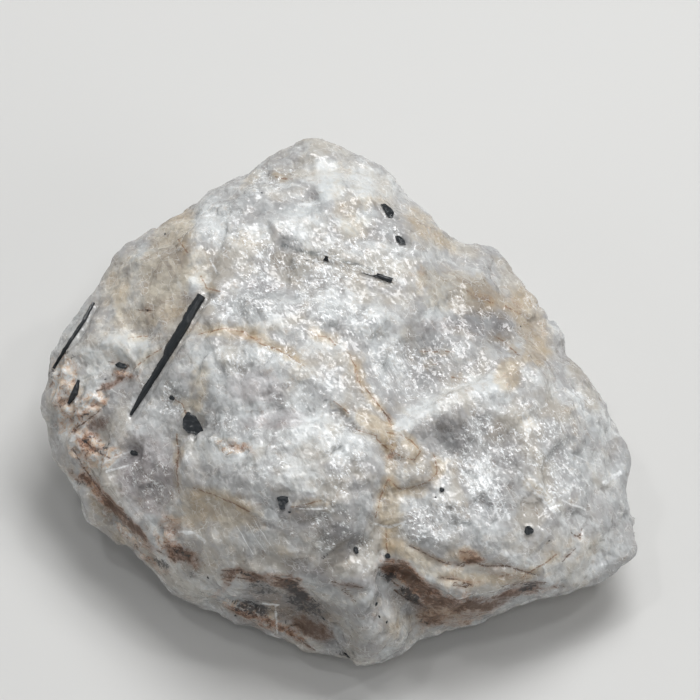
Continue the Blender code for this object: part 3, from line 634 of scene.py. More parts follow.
class MoonstoneSizes(bpy.types.PropertyGroup):
    """Sizes of the feldspar lump's surface."""

    grain: FloatProperty(name="Grain", description="Mesh size of the lump", default=0.0004, unit="LENGTH")
    wear: IntProperty(name="Wear", description="Rounds of smoothing before the surface is broken", default=4)
    plate: FloatProperty(name="Scoops", description="The largest scoops' size", default=0.0066, unit="LENGTH")
    plate_depth: FloatProperty(name="Scoop depth", description="Depth as part of its size", default=0.15)
    lump: FloatProperty(name="Lumps", description="Height of the fine lumps", default=0.00014, unit="LENGTH")
    moat: FloatProperty(name="Moat", description="Reach of a crystal's hollow", default=0.0005, unit="LENGTH")
    bare: FloatProperty(name="Bare", description="How far a crystal is bare", default=0.00025, unit="LENGTH")


class MoonstoneColours(bpy.types.PropertyGroup):
    """Colours of the feldspar and its stains, and of the shade, highlights and glints painted on it."""

    clear: FloatVectorProperty(
        name="Clear", description="Glassy grey feldspar", subtype="COLOR", default=(0.385, 0.38, 0.378)
    )
    # Milky feldspar, and the colour of the highlights painted along lit edges
    milk_and_highlight: FloatVectorProperty(
        name="Milk and highlight", description="Milky feldspar", subtype="COLOR", default=(0.66, 0.68, 0.68)
    )
    # Painted shade and deep grey: darkens the hollows and underneath where shade falls, greys clear feldspar and
    # hazes the soot
    deep_grey_and_shade: FloatVectorProperty(
        name="Deep grey and shade", description="Wash of deep clear feldspar", subtype="COLOR", default=(0.52, 0.51, 0.515)
    )
    warm: FloatVectorProperty(
        name="Warm", description="Feldspar that looks beige", subtype="COLOR", default=(0.47, 0.42, 0.34)
    )
    cool: FloatVectorProperty(
        name="Cool", description="Feldspar that looks blue-white", subtype="COLOR", default=(0.48, 0.53, 0.55)
    )
    rosy: FloatVectorProperty(
        name="Rosy", description="Lavender wash", subtype="COLOR", default=(0.84, 0.77, 0.775)
    )
    cream: FloatVectorProperty(
        name="Cream", description="Wash of pale iron stain", subtype="COLOR", default=(1.0, 0.875, 0.71)
    )
    peach: FloatVectorProperty(
        name="Peach", description="Crumbs stained by iron", subtype="COLOR", default=(0.66, 0.545, 0.43)
    )
    rust: FloatVectorProperty(
        name="Rust", description="Wash of brown iron stain", subtype="COLOR", default=(0.78, 0.62, 0.54)
    )
    umber: FloatVectorProperty(
        name="Umber", description="Brown of the cracks", subtype="COLOR", default=(0.115, 0.07, 0.045)
    )
    soot: FloatVectorProperty(
        name="Soot", description="Black mineral dust", subtype="COLOR", default=(0.035, 0.035, 0.037)
    )
    # Painted glints: the white that the flashes of cleavage are painted in
    glint: FloatVectorProperty(
        name="Glint", description="Cleavage that catches light", subtype="COLOR", default=(0.95, 0.97, 0.98)
    )


class TourmalineLook(bpy.types.PropertyGroup):
    """Look of the black crystals."""

    colour: FloatVectorProperty(
        name="Colour", description="Black tourmaline", subtype="COLOR", default=(0.024, 0.028, 0.029)
    )
    dusty: FloatVectorProperty(
        name="Dusty", description="Dust and breaks on it", subtype="COLOR", default=(0.30, 0.31, 0.30)
    )
    veiled: FloatVectorProperty(
        name="Veiled", description="Crystal under feldspar", subtype="COLOR", default=(0.10, 0.12, 0.125)
    )
    rib: FloatProperty(name="Ribs", description="Depth of the ribs", default=0.00003, unit="LENGTH")
    sink: FloatProperty(name="Sink", description="Depth of a veiled crystal", default=0.0012, unit="LENGTH")


class StageLook(bpy.types.PropertyGroup):
    """Floor, lights and camera."""

    floor: FloatVectorProperty(
        name="Floor", description="Pale floor", subtype="COLOR", default=(0.64, 0.64, 0.63)
    )
    distance: FloatProperty(name="Eye distance", description="Camera to stone", default=1.0, unit="LENGTH")
    key: FloatProperty(name="Key light", description="Power of the overhead light", default=2.8, unit="POWER")


def select_only(obj):
    bpy.ops.object.select_all(action="DESELECT")
    obj.select_set(True)
    bpy.context.view_layer.objects.active = obj


def copy_of_node(node, name):
    """A new object on a copy of a CAD node's mesh, with its loose triangles merged."""
    select_only(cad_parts[node])
    bpy.ops.object.duplicate()
    piece = bpy.context.active_object
    piece.name = name
    piece.data.name = name
    piece.data.materials.clear()
    for key in list(piece.keys()):
        del piece[key]
    piece.parent = None
    bpy.ops.object.mode_set(mode="EDIT")
    bpy.ops.mesh.select_all(action="SELECT")
    bpy.ops.mesh.remove_doubles(threshold=0.000001)
    bpy.ops.mesh.normals_make_consistent(inside=False)
    bpy.ops.object.mode_set(mode="OBJECT")
    return piece


def apply_modifier(obj, kind, **settings):
    select_only(obj)
    bpy.ops.object.modifier_add(type=kind)
    modifier = obj.modifiers[-1]
    for name, value in settings.items():
        setattr(modifier, name, value)
    bpy.ops.object.modifier_apply(modifier=modifier.name)


def coordinates(mesh):
    values = np.empty(len(mesh.vertices) * 3, dtype=np.float32)
    mesh.vertices.foreach_get("co", values)
    return values.reshape(-1, 3).astype(float)


def normals(mesh):
    values = np.empty(len(mesh.vertices) * 3, dtype=np.float32)
    mesh.vertex_normals.foreach_get("vector", values)
    return values.reshape(-1, 3).astype(float)


def set_coordinates(mesh, places):
    mesh.vertices.foreach_set("co", places.astype(np.float32).ravel())
    mesh.update()


def set_mark(mesh, name, values):
    """Keeps one number a point, for the material to read."""
    mark = mesh.attributes.new(name, "FLOAT", "POINT")
    mark.data.foreach_set("value", np.ascontiguousarray(values, dtype=np.float32))


def ease(values, low, high):
    """0 below low, 1 above high and smooth between."""
    part = np.clip((values - low) / (high - low), 0, 1)
    return part * part * (3 - 2 * part)


def in_view(line):
    """A line of the photograph's pixels as (u, v) in millimetres."""
    across, down = PHOTO_MIDDLE
    return [((x - across) / PHOTO_SCALE, (down - y) / PHOTO_SCALE) for x, y in line]


def line_offsets(u, v, lines):
    """How far each place is from the nearest of the lines, and how far to its left, in millimetres."""
    nearest = np.full(len(u), 99.0)
    leftward = np.full(len(u), 99.0)
    for line in lines:
        for (u0, v0), (u1, v1) in zip(line, line[1:]):
            du, dv = u1 - u0, v1 - v0
            length = math.hypot(du, dv)
            along = np.clip(((u - u0) * du + (v - v0) * dv) / length**2, 0, 1)
            distance = np.hypot(u - u0 - along * du, v - v0 - along * dv)
            left = ((v - v0) * du - (u - u0) * dv) / length
            leftward = np.where(distance < nearest, left, leftward)
            nearest = np.minimum(nearest, distance)
    return nearest, leftward


def ledge_height(u, v):
    """How far the ledges lift each place or let it down, in millimetres."""
    total = np.zeros(len(u))
    for line, lift in LEDGES:
        distance, left = line_offsets(u, v, [in_view(line)])
        side = 2 * ease(left, -LEDGE_RISER, LEDGE_RISER) - 1
        total += lift / 2 * side * (1 - ease(distance, 0.2, LEDGE_REACH))
    return total


def patches(u, v, spots):
    """How strongly each place lies in the patches: their strength inside, easing to nothing at their rims."""
    total = np.zeros(len(u))
    for (cu, cv), (half_long, half_wide), turn, strength in spots:
        angle = math.radians(turn)
        along = (u - cu) * math.cos(angle) + (v - cv) * math.sin(angle)
        across = (v - cv) * math.cos(angle) - (u - cu) * math.sin(angle)
        reach = np.hypot(along / half_long, across / half_wide)
        total += strength * (1 - ease(reach, 0.45, 1.25))
    return total


def sampled(places, size, pattern):
    """A noise pattern read at each place, with its features about size millimetres."""
    return np.array([pattern(Vector(place) / (size * MM)) for place in places])


def scoop_height(place):
    """Height of round scoops that meet in sharp ridges, for scoops of size 1."""
    distances, _ = noise.voronoi(place)
    return distances[0] ** 2


def chip_height(place):
    """Height of a tilted chip's plane, for chips of size 1."""
    _, centres = noise.voronoi(place)
    lean = noise.cell_vector(centres[0] * 7.3) - Vector((0.5, 0.5, 0.5))
    return 2 * (place - centres[0]).dot(lean)


def cloud(place):
    return noise.fractal(place, 0.8, 2.0, 4)


def wandering(place):
    return noise.noise_vector(place)


class OBJECT_OT_moonstone_lump(bpy.types.Operator):
    """Makes the feldspar lump: even mesh, filled pockets, chipped surface, marks for its stains and for its
    painted highlights, glints and shade
    """

    bl_idname = "object.moonstone_lump"
    bl_label = "Feldspar lump"

    def execute(self, context):
        noise.seed_set(NOISE_SEED)
        sizes = context.scene.moonstone_sizes
        lump = copy_of_node("moonstone", "feldspar_lump")
        crystals = LONG_CRYSTALS + STUB_CRYSTALS
        self.solids = solids_of(crystals)
        plugs = [self.plug(node) for node in crystals]
        select_only(lump)
        for plug in plugs:
            plug.select_set(True)
        bpy.ops.object.join()
        apply_modifier(lump, "REMESH", mode="VOXEL", voxel_size=sizes.grain)
        apply_modifier(lump, "SMOOTH", factor=0.5, iterations=sizes.wear)
        self.break_surface(lump.data, sizes)
        self.bare_crystals(lump.data, sizes)
        self.mark(lump.data)
        select_only(lump)
        bpy.ops.object.shade_smooth()
        lump.data.materials.append(feldspar(context.scene.moonstone_colours, context.scene.tourmaline_look))
        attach(lump, "root")
        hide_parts("moonstone")
        return {"FINISHED"}

    def plug(self, node):
        """A crystal's copy, fattened past its pocket's gap and sunk, so that the lump closes over it."""
        plug = copy_of_node(node, node + "_plug")
        bpy.ops.object.mode_set(mode="EDIT")
        bpy.ops.mesh.select_all(action="SELECT")
        bpy.ops.transform.shrink_fatten(value=0.36 * MM)
        bpy.ops.object.mode_set(mode="OBJECT")
        places = coordinates(plug.data) - np.array(sight_axes()[2]) * 0.5 * MM
        set_coordinates(plug.data, places)
        return plug

    def break_surface(self, mesh, sizes):
        """Scoops that meet in sharp ridges, small tilted chips, fine lumps, and grooves along the cracks."""
        places = coordinates(mesh)
        outward = normals(mesh)
        u, v, _ = seen_places(places)
        front = ease(outward @ np.array(sight_axes()[2]), -0.1, 0.2)
        glitter = patches(u, v, GLITTERING) * front
        crumble = patches(u, v, CRUMBLY) * front
        broken = np.clip(0.6 + 0.5 * glitter + crumble, 0.15, 2.0)
        bent = places + 0.9 * MM * sampled(places, 4.0, wandering)
        height = np.zeros(len(places))
        for part, depth in ((1.0, 0.9), (0.45, 1.0), (0.2, 0.8)):
            size = sizes.plate * part
            scoops = sampled(bent, size / MM, scoop_height)
            height += size * depth * sizes.plate_depth * (scoops - scoops.mean())
        for part, depth in ((0.6, 0.7), (0.3, 0.6)):
            size = sizes.plate * part
            height += size * depth * sizes.plate_depth * sampled(bent, size / MM, chip_height)
        height += sizes.lump * sampled(places, 1.4, cloud)
        height *= broken * (0.15 + 0.85 * ease(self.crystal_distance(mesh, sizes), 0.3, 2.2))
        height += 0.28 * MM * np.clip(crumble, 0, 1.5) * sampled(places, 0.9, cloud)
        grooves, _ = line_offsets(u, v, [in_view(crack) for crack in CRACKS])
        height -= 0.22 * MM * (1 - ease(grooves, 0.05, 0.5)) * front
        wander = sampled(places, 2.0, wandering)
        ledges = ledge_height(u + 0.35 * wander[:, 0], v + 0.35 * wander[:, 1])
        height += MM * ledges * front * ease(self.crystal_distance(mesh, sizes), 0.3, 1.6)
        places += outward * height[:, None]
        low, high = (np.array(corner) for corner in CAD_BOX)
        set_coordinates(mesh, np.clip(places, low, high))

    def crystal_distance(self, mesh, sizes):
        """How far each place is from the nearest crystal, in millimetres, up to the reach of the moat."""
        reach = 5 * sizes.moat
        found = (self.solids.find_nearest(vertex.co, reach)[3] for vertex in mesh.vertices)
        return np.array([reach if distance is None else distance for distance in found]) / MM

    def bare_crystals(self, mesh, sizes):
        """Sinks the surface where it covers a crystal, and round it down to the crystal's widest line."""
        near = sight_axes()[2]
        for vertex in mesh.vertices:
            if vertex.normal.dot(near) < 0.2:
                continue
            if self.solids.find_nearest(vertex.co, 3 * sizes.moat)[0] is None:
                continue
            top, _, _, _ = self.solids.ray_cast(vertex.co + near * 3 * MM, -near, 5 * MM)
            if top is not None:
                cover = (vertex.co - top).dot(near) + sizes.bare
                vertex.co -= near * max(0.0, cover)
            else:
                self.sink_beside(vertex, near, sizes)
        mesh.update()

    def sink_beside(self, vertex, near, sizes):
        for extra in (0, 0, 0, sizes.bare / 2):
            offset = vertex.co - self.solids.find_nearest(vertex.co)[0]
            rise = offset.dot(near)
            aside = (offset - near * rise).length
            share = 1 - min(1.0, max(0.0, aside / sizes.moat - 0.8))
            vertex.co -= near * (max(0.0, rise) + extra) * share

    def mark(self, mesh):
        """Says how milky, tinted, stained and glittering each place is: painted highlights ride on the milky
        marks, painted shade on the deep grey ones and painted glints on the glitter marks.
        """
        places = coordinates(mesh)
        facing = normals(mesh) @ np.array(sight_axes()[2])
        u, v, _ = seen_places(places)
        front = ease(facing, -0.15, 0.2)
        back = 1 - front
        broad = sampled(places, 11.0, cloud)
        other = sampled(places + 0.5, 8.0, cloud)
        third = sampled(places - 0.5, 6.0, cloud)
        wander = sampled(places, 3.0, wandering)
        fray = sampled(places, 0.9, wandering)
        line_u = u + 0.14 * wander[:, 0] + 0.1 * fray[:, 0]
        line_v = v + 0.14 * wander[:, 1] + 0.1 * fray[:, 1]
        u = u + 0.6 * wander[:, 0] + 0.35 * fray[:, 0]
        v = v + 0.6 * wander[:, 1] + 0.35 * fray[:, 1]
        for name, spots, behind in (
            # Milkiness, with highlights painted along lit edges
            ("milk_and_highlight", MILKY_AND_LIT, ease(broad, 0.0, 0.7)),
            # Painted shade in the hollows and underneath, and deeper grey
            ("deep_grey_and_shade", DEEP_AND_SHADED, 0.8 * ease(-broad, 0.2, 0.9)),
            ("rosy", ROSY, 0.6 * ease(-broad, 0.1, 0.8)),
            ("cream", CREAM, ease(other, 0.1, 0.8)),
            ("rust", RUSTY, ease(other, 0.5, 1.1)),
            ("soot", SOOTY, 0.7 * ease(-other, 0.8, 1.3)),
            ("glitter", GLITTERING, 1.4 * ease(third, -0.1, 0.6) - 0.3),
            ("crumble", CRUMBLY, ease(other, 0.6, 1.2)),
        ):
            set_mark(mesh, name, patches(u, v, spots) * front + behind * back)
        hidden = 9 * broad, 9 * other
        for name, lines, seam in (("vein", VEINS, hidden[0]), ("crack", CRACKS, hidden[1])):
            distance, left = line_offsets(line_u, line_v, [in_view(line) for line in lines])
            broken = 1.2 * ease(third, -0.2, 0.3)
            set_mark(mesh, name, np.where(front > 0.5, distance, np.abs(seam) + broken))
            set_mark(mesh, name + "_side", np.where(front > 0.5, left, seam))
        distance, _ = line_offsets(line_u, line_v, VEILS)
        set_mark(mesh, "veil", distance + back * 9)
        self.mark_glint_bars(mesh, line_u, line_v, back)

    def mark_glint_bars(self, mesh, u, v, back):
        """Says how far each place is from the nearest line of painted highlight, and how many of its half widths
        aside.
        """
        nearest = np.full(len(u), 99.0)
        aside = np.full(len(u), 99.0)
        for line, half_width in GLINT_BARS:
            distance, left = line_offsets(u, v, [in_view(line)])
            aside = np.where(distance < nearest, left / half_width, aside)
            nearest = np.minimum(nearest, distance)
        set_mark(mesh, "glint_bar", nearest + back * 9)
        set_mark(mesh, "glint_bar_side", aside + back * 9)


class NodeBench:
    """Short ways to place and link shader nodes."""

    def __init__(self, name):
        self.material = bpy.data.materials.new(name)
        self.material.use_nodes = True
        self.nodes = self.material.node_tree.nodes
        self.links = self.material.node_tree.links
        self.shader = self.nodes["Principled BSDF"]

    def put(self, kind, **settings):
        node = self.nodes.new(kind)
        for name, value in settings.items():
            setattr(node, name, value)
        return node

    def feed(self, socket, value):
        if isinstance(value, bpy.types.NodeSocket):
            self.links.new(value, socket)
        else:
            socket.default_value = value

    def math(self, operation, *values, clamp=False):
        node = self.put("ShaderNodeMath", operation=operation, use_clamp=clamp)
        for socket, value in zip(node.inputs, values):
            self.feed(socket, value)
        return node.outputs[0]

    def vector(self, operation, *values):
        node = self.put("ShaderNodeVectorMath", operation=operation)
        for socket, value in zip(node.inputs, values):
            self.feed(socket, value)
        return node.outputs[0]

    def scaled(self, vector, factor):
        node = self.put("ShaderNodeVectorMath", operation="SCALE")
        self.feed(node.inputs[0], vector)
        self.feed(node.inputs["Scale"], factor)
        return node.outputs[0]

    def mix(self, factor, first, second, blend="MIX"):
        """Blends two colours."""
        node = self.put("ShaderNodeMix", data_type="RGBA", blend_type=blend)
        self.feed(node.inputs["Factor"], factor)
        colours = [socket for socket in node.inputs if socket.type == "RGBA"]
        self.feed(colours[0], first)
        self.feed(colours[1], second)
        return next(socket for socket in node.outputs if socket.type == "RGBA")

    def mark(self, name):
        return self.put("ShaderNodeAttribute", attribute_type="GEOMETRY", attribute_name=name).outputs["Fac"]

    def places(self):
        """Object coordinates in millimetres."""
        return self.scaled(self.put("ShaderNodeTexCoord").outputs["Object"], 1 / MM)

    def grain(self, sizes, turn):
        """Coordinates for features of those sizes in millimetres, the first lying turned in the view."""
        right, up, near = sight_axes()
        angle = math.radians(turn)
        along = right * math.cos(angle) + up * math.sin(angle)
        across = near.cross(along)
        mapping = self.put("ShaderNodeMapping", vector_type="TEXTURE")
        mapping.inputs["Scale"].default_value = tuple(size * MM for size in sizes)
        mapping.inputs["Rotation"].default_value = Matrix((along, across, near)).transposed().to_euler()
        self.feed(mapping.inputs["Vector"], self.put("ShaderNodeTexCoord").outputs["Object"])
        return mapping.outputs[0]

    def noise(self, places, scale, detail=3.0, roughness=0.55, distortion=0.0):
        node = self.put("ShaderNodeTexNoise")
        self.feed(node.inputs["Vector"], places)
        for name, value in (
            ("Scale", scale),
            ("Detail", detail),
            ("Roughness", roughness),
            ("Distortion", distortion),
        ):
            node.inputs[name].default_value = value
        return node.outputs["Fac"]

    def bent(self, places, scale, amount):
        """Places pushed about by a smooth pattern."""
        node = self.put("ShaderNodeTexNoise")
        self.feed(node.inputs["Vector"], places)
        node.inputs["Scale"].default_value = scale
        push = self.vector("SUBTRACT", node.outputs["Color"], (0.5, 0.5, 0.5))
        return self.vector("ADD", places, self.scaled(push, amount))

    def red_of(self, colour):
        node = self.put("ShaderNodeSeparateXYZ")
        self.feed(node.inputs[0], colour)
        return node.outputs[0]

    def cells(self, places, scale, output="Color", feature="F1"):
        node = self.put("ShaderNodeTexVoronoi", feature=feature)
        self.feed(node.inputs["Vector"], places)
        node.inputs["Scale"].default_value = scale
        return node.outputs[output]

    def ramp(self, value, low, high):
        """0 below low and 1 above high, easing between."""
        node = self.put("ShaderNodeMapRange", interpolation_type="SMOOTHSTEP")
        for socket, number in zip(node.inputs, (value, low, high, 0.0, 1.0)):
            self.feed(socket, number)
        return node.outputs[0]


class FeldsparPatterns:
    """The noises that the feldspar's colours, glints and facets share, on one bench."""

    def __init__(self, bench):
        self.plain = bench.places()
        self.streaked = bench.grain((1.1, 0.5, 0.8), -8)
        self.slanting = bench.grain((0.45, 1.2, 0.7), 32)
        self.splintery = bench.grain((2.6, 0.2, 0.5), -60)
        self.soft = bench.noise(self.plain, 0.2, 3.0, 0.5, 0.3)
        self.fine = bench.noise(self.plain, 0.8, 4.0, 0.6, 0.3)
        self.dust = bench.noise(self.streaked, 1.0, 5.0, 0.75, 0.8)
        self.grit = bench.noise(self.plain, 1.9, 2.0, 0.7, 0.5)
        self.hue = bench.noise(self.plain, 0.15, 3.0, 0.6, 0.3)


def frayed(bench, name, fray, low, high, swing):
    """A mark pushed up and down by a pattern and then eased from 0 to 1."""
    push = bench.math("MULTIPLY", bench.math("SUBTRACT", fray, 0.5), swing)
    return bench.ramp(bench.math("ADD", bench.mark(name), push), low, high)


def halo(bench, name, fray, reach, swing):
    """1 on the lines of one name, easing to 0 at the reach on both sides."""
    push = bench.math("MULTIPLY", bench.math("SUBTRACT", fray, 0.5), swing)
    return bench.ramp(bench.math("ADD", bench.mark(name), push), reach, 0.0)


def hairline(bench, name, fray, half_width, swing):
    """1 on the lines of one name and 0 off them, with frayed sides."""
    aside = bench.math("ABSOLUTE", bench.mark(name + "_side"))
    push = bench.math("MULTIPLY", bench.math("SUBTRACT", fray, 0.5), swing)
    core = bench.ramp(bench.math("ADD", aside, push), half_width, half_width * 0.3)
    return bench.math("MULTIPLY", core, bench.ramp(bench.mark(name), 0.65, 0.45))


def tinted(bench, colour, amount, strength, tint):
    """Lays a tint over a colour, where the amount is 1 with that strength."""
    return bench.mix(bench.math("MULTIPLY", amount, strength), colour, (*tint, 1))


def washed(bench, colour, amount, strength, tint):
    """Multiplies a colour by a tint, so that what is under it shows through."""
    return bench.mix(bench.math("MULTIPLY", amount, strength), colour, (*tint, 1), "MULTIPLY")


def shards(bench, grain, scale):
    """Angular cleavage plates: their own shade, and the thin edges between them."""
    places = bench.bent(grain, 0.6, 0.7)
    shade = bench.math("SUBTRACT", bench.red_of(bench.cells(places, scale)), 0.5)
    edge = bench.ramp(bench.cells(places, scale, "Distance", "DISTANCE_TO_EDGE"), 0.03, 0.0)
    return shade, edge


def feldspar_body(bench, colours, patterns):
    """Clear feldspar in plates with milky clouds, here warm and there cool, and highlights painted where the milky
    marks lie on lit edges: colour, milkiness and edges.
    """
    shade, edge = shards(bench, patterns.slanting, 0.45)
    small_shade, small_edge = shards(bench, patterns.streaked, 0.75)
    tiny = bench.cells(bench.bent(patterns.slanting, 1.1, 0.5), 1.7)
    tiny_shade = bench.math("SUBTRACT", bench.red_of(tiny), 0.5)
    cloudy = bench.math("ADD", bench.math("MULTIPLY", patterns.soft, 1.3), patterns.fine)
    broad = bench.cells(bench.bent(patterns.plain, 0.3, 1.6), 0.24)
    broad_shade = bench.math("SUBTRACT", bench.red_of(broad), 0.5)
    plates = bench.math("ADD", bench.math("MULTIPLY", broad_shade, 0.45), bench.math("MULTIPLY", shade, 0.42))
    plates = bench.math("ADD", plates, bench.math("MULTIPLY", small_shade, 0.34))
    plates = bench.math("ADD", plates, bench.math("MULTIPLY", tiny_shade, 0.22))
    # Milkiness, with highlights painted along lit edges
    milk_and_highlight = bench.math("MULTIPLY", bench.mark("milk_and_highlight"), 0.62)
    milky = bench.math("ADD", bench.math("ADD", milk_and_highlight, plates), bench.math("SUBTRACT", cloudy, 1.06))
    colour = bench.mix(bench.ramp(milky, -0.35, 0.9), (*colours.clear, 1), (*colours.milk_and_highlight, 1))
    colour = tinted(bench, colour, bench.ramp(patterns.hue, 0.47, 0.66), 0.5, colours.warm)
    colour = tinted(bench, colour, bench.ramp(patterns.hue, 0.49, 0.33), 0.25, colours.cool)
    # The plate edges are painted as bright lines of highlight in cleavage()
    here = bench.ramp(patterns.fine, 0.45, 0.6)
    edges = bench.math("MULTIPLY", bench.math("MAXIMUM", edge, small_edge), here)
    return colour, milky, edges


def crumbs(bench, colours, patterns):
    """Crumbly feldspar: white and peach grains with rusty and brown gaps."""
    places = bench.bent(patterns.plain, 0.8, 1.6)
    pale = bench.noise(places, 1.1, 4.0, 0.7, 0.4)
    gaps = bench.noise(places, 0.75, 5.0, 0.72, 0.9)
    colour = bench.mix(bench.ramp(pale, 0.42, 0.6), (*colours.peach, 1), (*colours.milk_and_highlight, 1))
    colour = washed(bench, colour, bench.ramp(gaps, 0.52, 0.42), 0.95, colours.rust)
    return tinted(bench, colour, bench.ramp(gaps, 0.42, 0.36), 0.85, colours.umber)


def feldspar_stains(bench, colours, patterns, colour):
    """Painted shade in hollows and underneath, deep and stained places, seams, cracks and black dust over the
    body: colour and dullness.
    """
    fine, dust, grit = patterns.fine, patterns.dust, patterns.grit
    # Painted shade in the hollows, grooves and underneath, and the deeper grey of clear feldspar
    colour = washed(bench, colour, frayed(bench, "deep_grey_and_shade", fine, 0.0, 1.3, 1.6), 0.85, colours.deep_grey_and_shade)
    colour = washed(bench, colour, frayed(bench, "rosy", fine, 0.0, 1.3, 1.6), 0.8, colours.rosy)
    colour = washed(bench, colour, frayed(bench, "cream", fine, -0.1, 1.5, 2.4), 0.9, colours.cream)
    crumbly = frayed(bench, "crumble", fine, 0.35, 0.8, 1.4)
    colour = bench.mix(bench.math("MULTIPLY", crumbly, 0.9), colour, crumbs(bench, colours, patterns))
    stained = frayed(bench, "rust", fine, 0.0, 1.5, 2.0)
    colour = washed(bench, colour, stained, 0.85, colours.rust)
    rusty = frayed(bench, "rust", dust, 0.6, 1.4, 5.0)
    colour = washed(bench, colour, rusty, 0.7, colours.rust)
    within = bench.ramp(bench.mark("rust"), 0.15, 0.5)
    streaks = bench.math("MULTIPLY", frayed(bench, "rust", dust, 1.3, 1.7, 6.0), within)
    colour = tinted(bench, colour, streaks, 0.62, colours.umber)
    grains = bench.math("MULTIPLY", frayed(bench, "rust", grit, 1.4, 1.7, 6.0), within)
    colour = tinted(bench, colour, grains, 0.6, colours.umber)
    colour = washed(bench, colour, halo(bench, "vein", fine, 0.8, 3.0), 0.6, colours.cream)
    seam = bench.math("MULTIPLY", hairline(bench, "vein", fine, 0.12, 0.3), bench.ramp(dust, 0.42, 0.5))
    colour = washed(bench, colour, seam, 1.0, colours.rust)
    colour = tinted(bench, colour, seam, 0.3, colours.umber)
    colour = washed(bench, colour, halo(bench, "crack", dust, 0.5, 1.8), 0.6, colours.rust)
    crack = bench.math("MULTIPLY", hairline(bench, "crack", dust, 0.13, 0.6), bench.ramp(fine, 0.4, 0.48))
    colour = tinted(bench, colour, crack, 0.85, colours.umber)
    smoke = frayed(bench, "soot", fine, 0.0, 1.6, 1.6)
    colour = washed(bench, colour, smoke, 0.75, colours.deep_grey_and_shade)
    within = bench.ramp(bench.mark("soot"), 0.15, 0.5)
    specks = bench.math("MULTIPLY", frayed(bench, "soot", grit, 0.9, 1.2, 6.0), within)
    colour = tinted(bench, colour, specks, 0.8, colours.soot)
    return colour, bench.math("MAXIMUM", bench.math("MAXIMUM", rusty, bench.math("MULTIPLY", stained, 0.6)), smoke)


def glints(bench, grain, fine):
    """Painted glints: short bright curls and dots of cleavage, gathered where the feldspar glitters."""
    curl = bench.noise(grain, 0.7, 2.0, 0.5, 0.8)
    curl = bench.ramp(bench.math("ABSOLUTE", bench.math("SUBTRACT", curl, 0.5)), 0.036, 0.012)
    cut = bench.ramp(bench.noise(grain, 0.9, 2.0, 0.5, 0.0), 0.52, 0.57)
    dots = bench.cells(grain, 1.5, "Distance")
    lit = bench.ramp(bench.red_of(bench.cells(grain, 1.5)), 0.72, 0.78)
    dots = bench.math("MULTIPLY", bench.ramp(dots, 0.4, 0.26), lit)
    bright = bench.math("MAXIMUM", bench.math("MULTIPLY", curl, cut), dots)
    gathered = frayed(bench, "glitter", fine, 0.4, 1.1, 4.6)
    return bench.math("MULTIPLY", bright, gathered)


def cleavage(bench, patterns, edges, dull):
    """How brightly each place flashes, as glints and highlights painted in its colour: curls and dots, splinters,
    plate edges and the long bright bars.
    """
    slanting = glints(bench, patterns.slanting, patterns.fine)
    curls = bench.math("MAXIMUM", slanting, glints(bench, patterns.streaked, patterns.fine))
    # Painted highlights: splinters and plate edges drawn as bright lines
    splinters = bench.ramp(bench.noise(patterns.splintery, 1.0, 3.0, 0.6, 0.2), 0.57, 0.65)
    splinters = bench.math("MULTIPLY", splinters, frayed(bench, "glitter", patterns.soft, 0.3, 1.4, 4.4))
    lines = bench.math("MAXIMUM", bench.math("MULTIPLY", splinters, 0.5), bench.math("MULTIPLY", edges, 0.5))
    bright = bench.math("MAXIMUM", bench.math("MULTIPLY", curls, 0.9), lines)
    bright = bench.math("MULTIPLY", bright, bench.math("SUBTRACT", 1.0, dull))
    # Painted highlights along the long bright lines
    bars = hairline(bench, "glint_bar", patterns.fine, 1.25, 3.0)
    bars = bench.math("MULTIPLY", bars, bench.ramp(patterns.dust, 0.36, 0.5))
    return bench.math("MAXIMUM", bright, bench.math("MULTIPLY", bars, 0.6), clamp=True)


def feldspar(colours, crystal_look):
    """Milky, glassy feldspar: clouds, stains and seams in its colour, painted shade and highlights, and cleavage
    glints painted in its colour and set in its surface.
    """
    bench = NodeBench("feldspar")
    patterns = FeldsparPatterns(bench)
    colour, milky, edges = feldspar_body(bench, colours, patterns)
    colour, dull = feldspar_stains(bench, colours, patterns, colour)
    colour = tinted(bench, colour, halo(bench, "veil", patterns.fine, 0.46, 0.9), 0.62, crystal_look.veiled)
    bright = cleavage(bench, patterns, edges, dull)
    # Painted glints and highlights: flashing places are mixed towards the glint colour
    bench.feed(bench.shader.inputs["Base Color"], bench.mix(bright, colour, (*colours.glint, 1)))
    normal = bench.put("ShaderNodeNewGeometry").outputs["Normal"]
    for grain, scale, lean in (
        (patterns.slanting, 1.4, 0.36),
        (patterns.streaked, 0.8, 0.32),
        (patterns.plain, 0.3, 0.16),
    ):
        tilt = bench.vector("SUBTRACT", bench.cells(grain, scale), (0.5, 0.5, 0.5))
        normal = bench.vector("ADD", normal, bench.scaled(tilt, lean))
    flash = bench.vector("SUBTRACT", bench.cells(patterns.slanting, 2.4), (0.5, 0.5, 0.5))
    normal = bench.vector("ADD", normal, bench.scaled(flash, bench.math("MULTIPLY", bright, 0.8)))
    bench.feed(bench.shader.inputs["Normal"], bench.vector("NORMALIZE", normal))
    rough = bench.math("MAXIMUM", dull, bench.math("MULTIPLY", bench.ramp(milky, 0.2, 1.0), 0.5))
    rough = bench.math("ADD", 0.19, bench.math("MULTIPLY", rough, 0.42))
    rough = bench.math("SUBTRACT", rough, bench.math("MULTIPLY", bright, 0.14))
    bench.feed(bench.shader.inputs["Roughness"], rough)
    bench.shader.inputs["Specular IOR Level"].default_value = 0.55
    bench.shader.inputs["Subsurface Weight"].default_value = 0.2
    bench.shader.inputs["Subsurface Radius"].default_value = (1.0, 0.95, 0.88)
    bench.shader.inputs["Subsurface Scale"].default_value = 1.0 * MM
    return bench.material


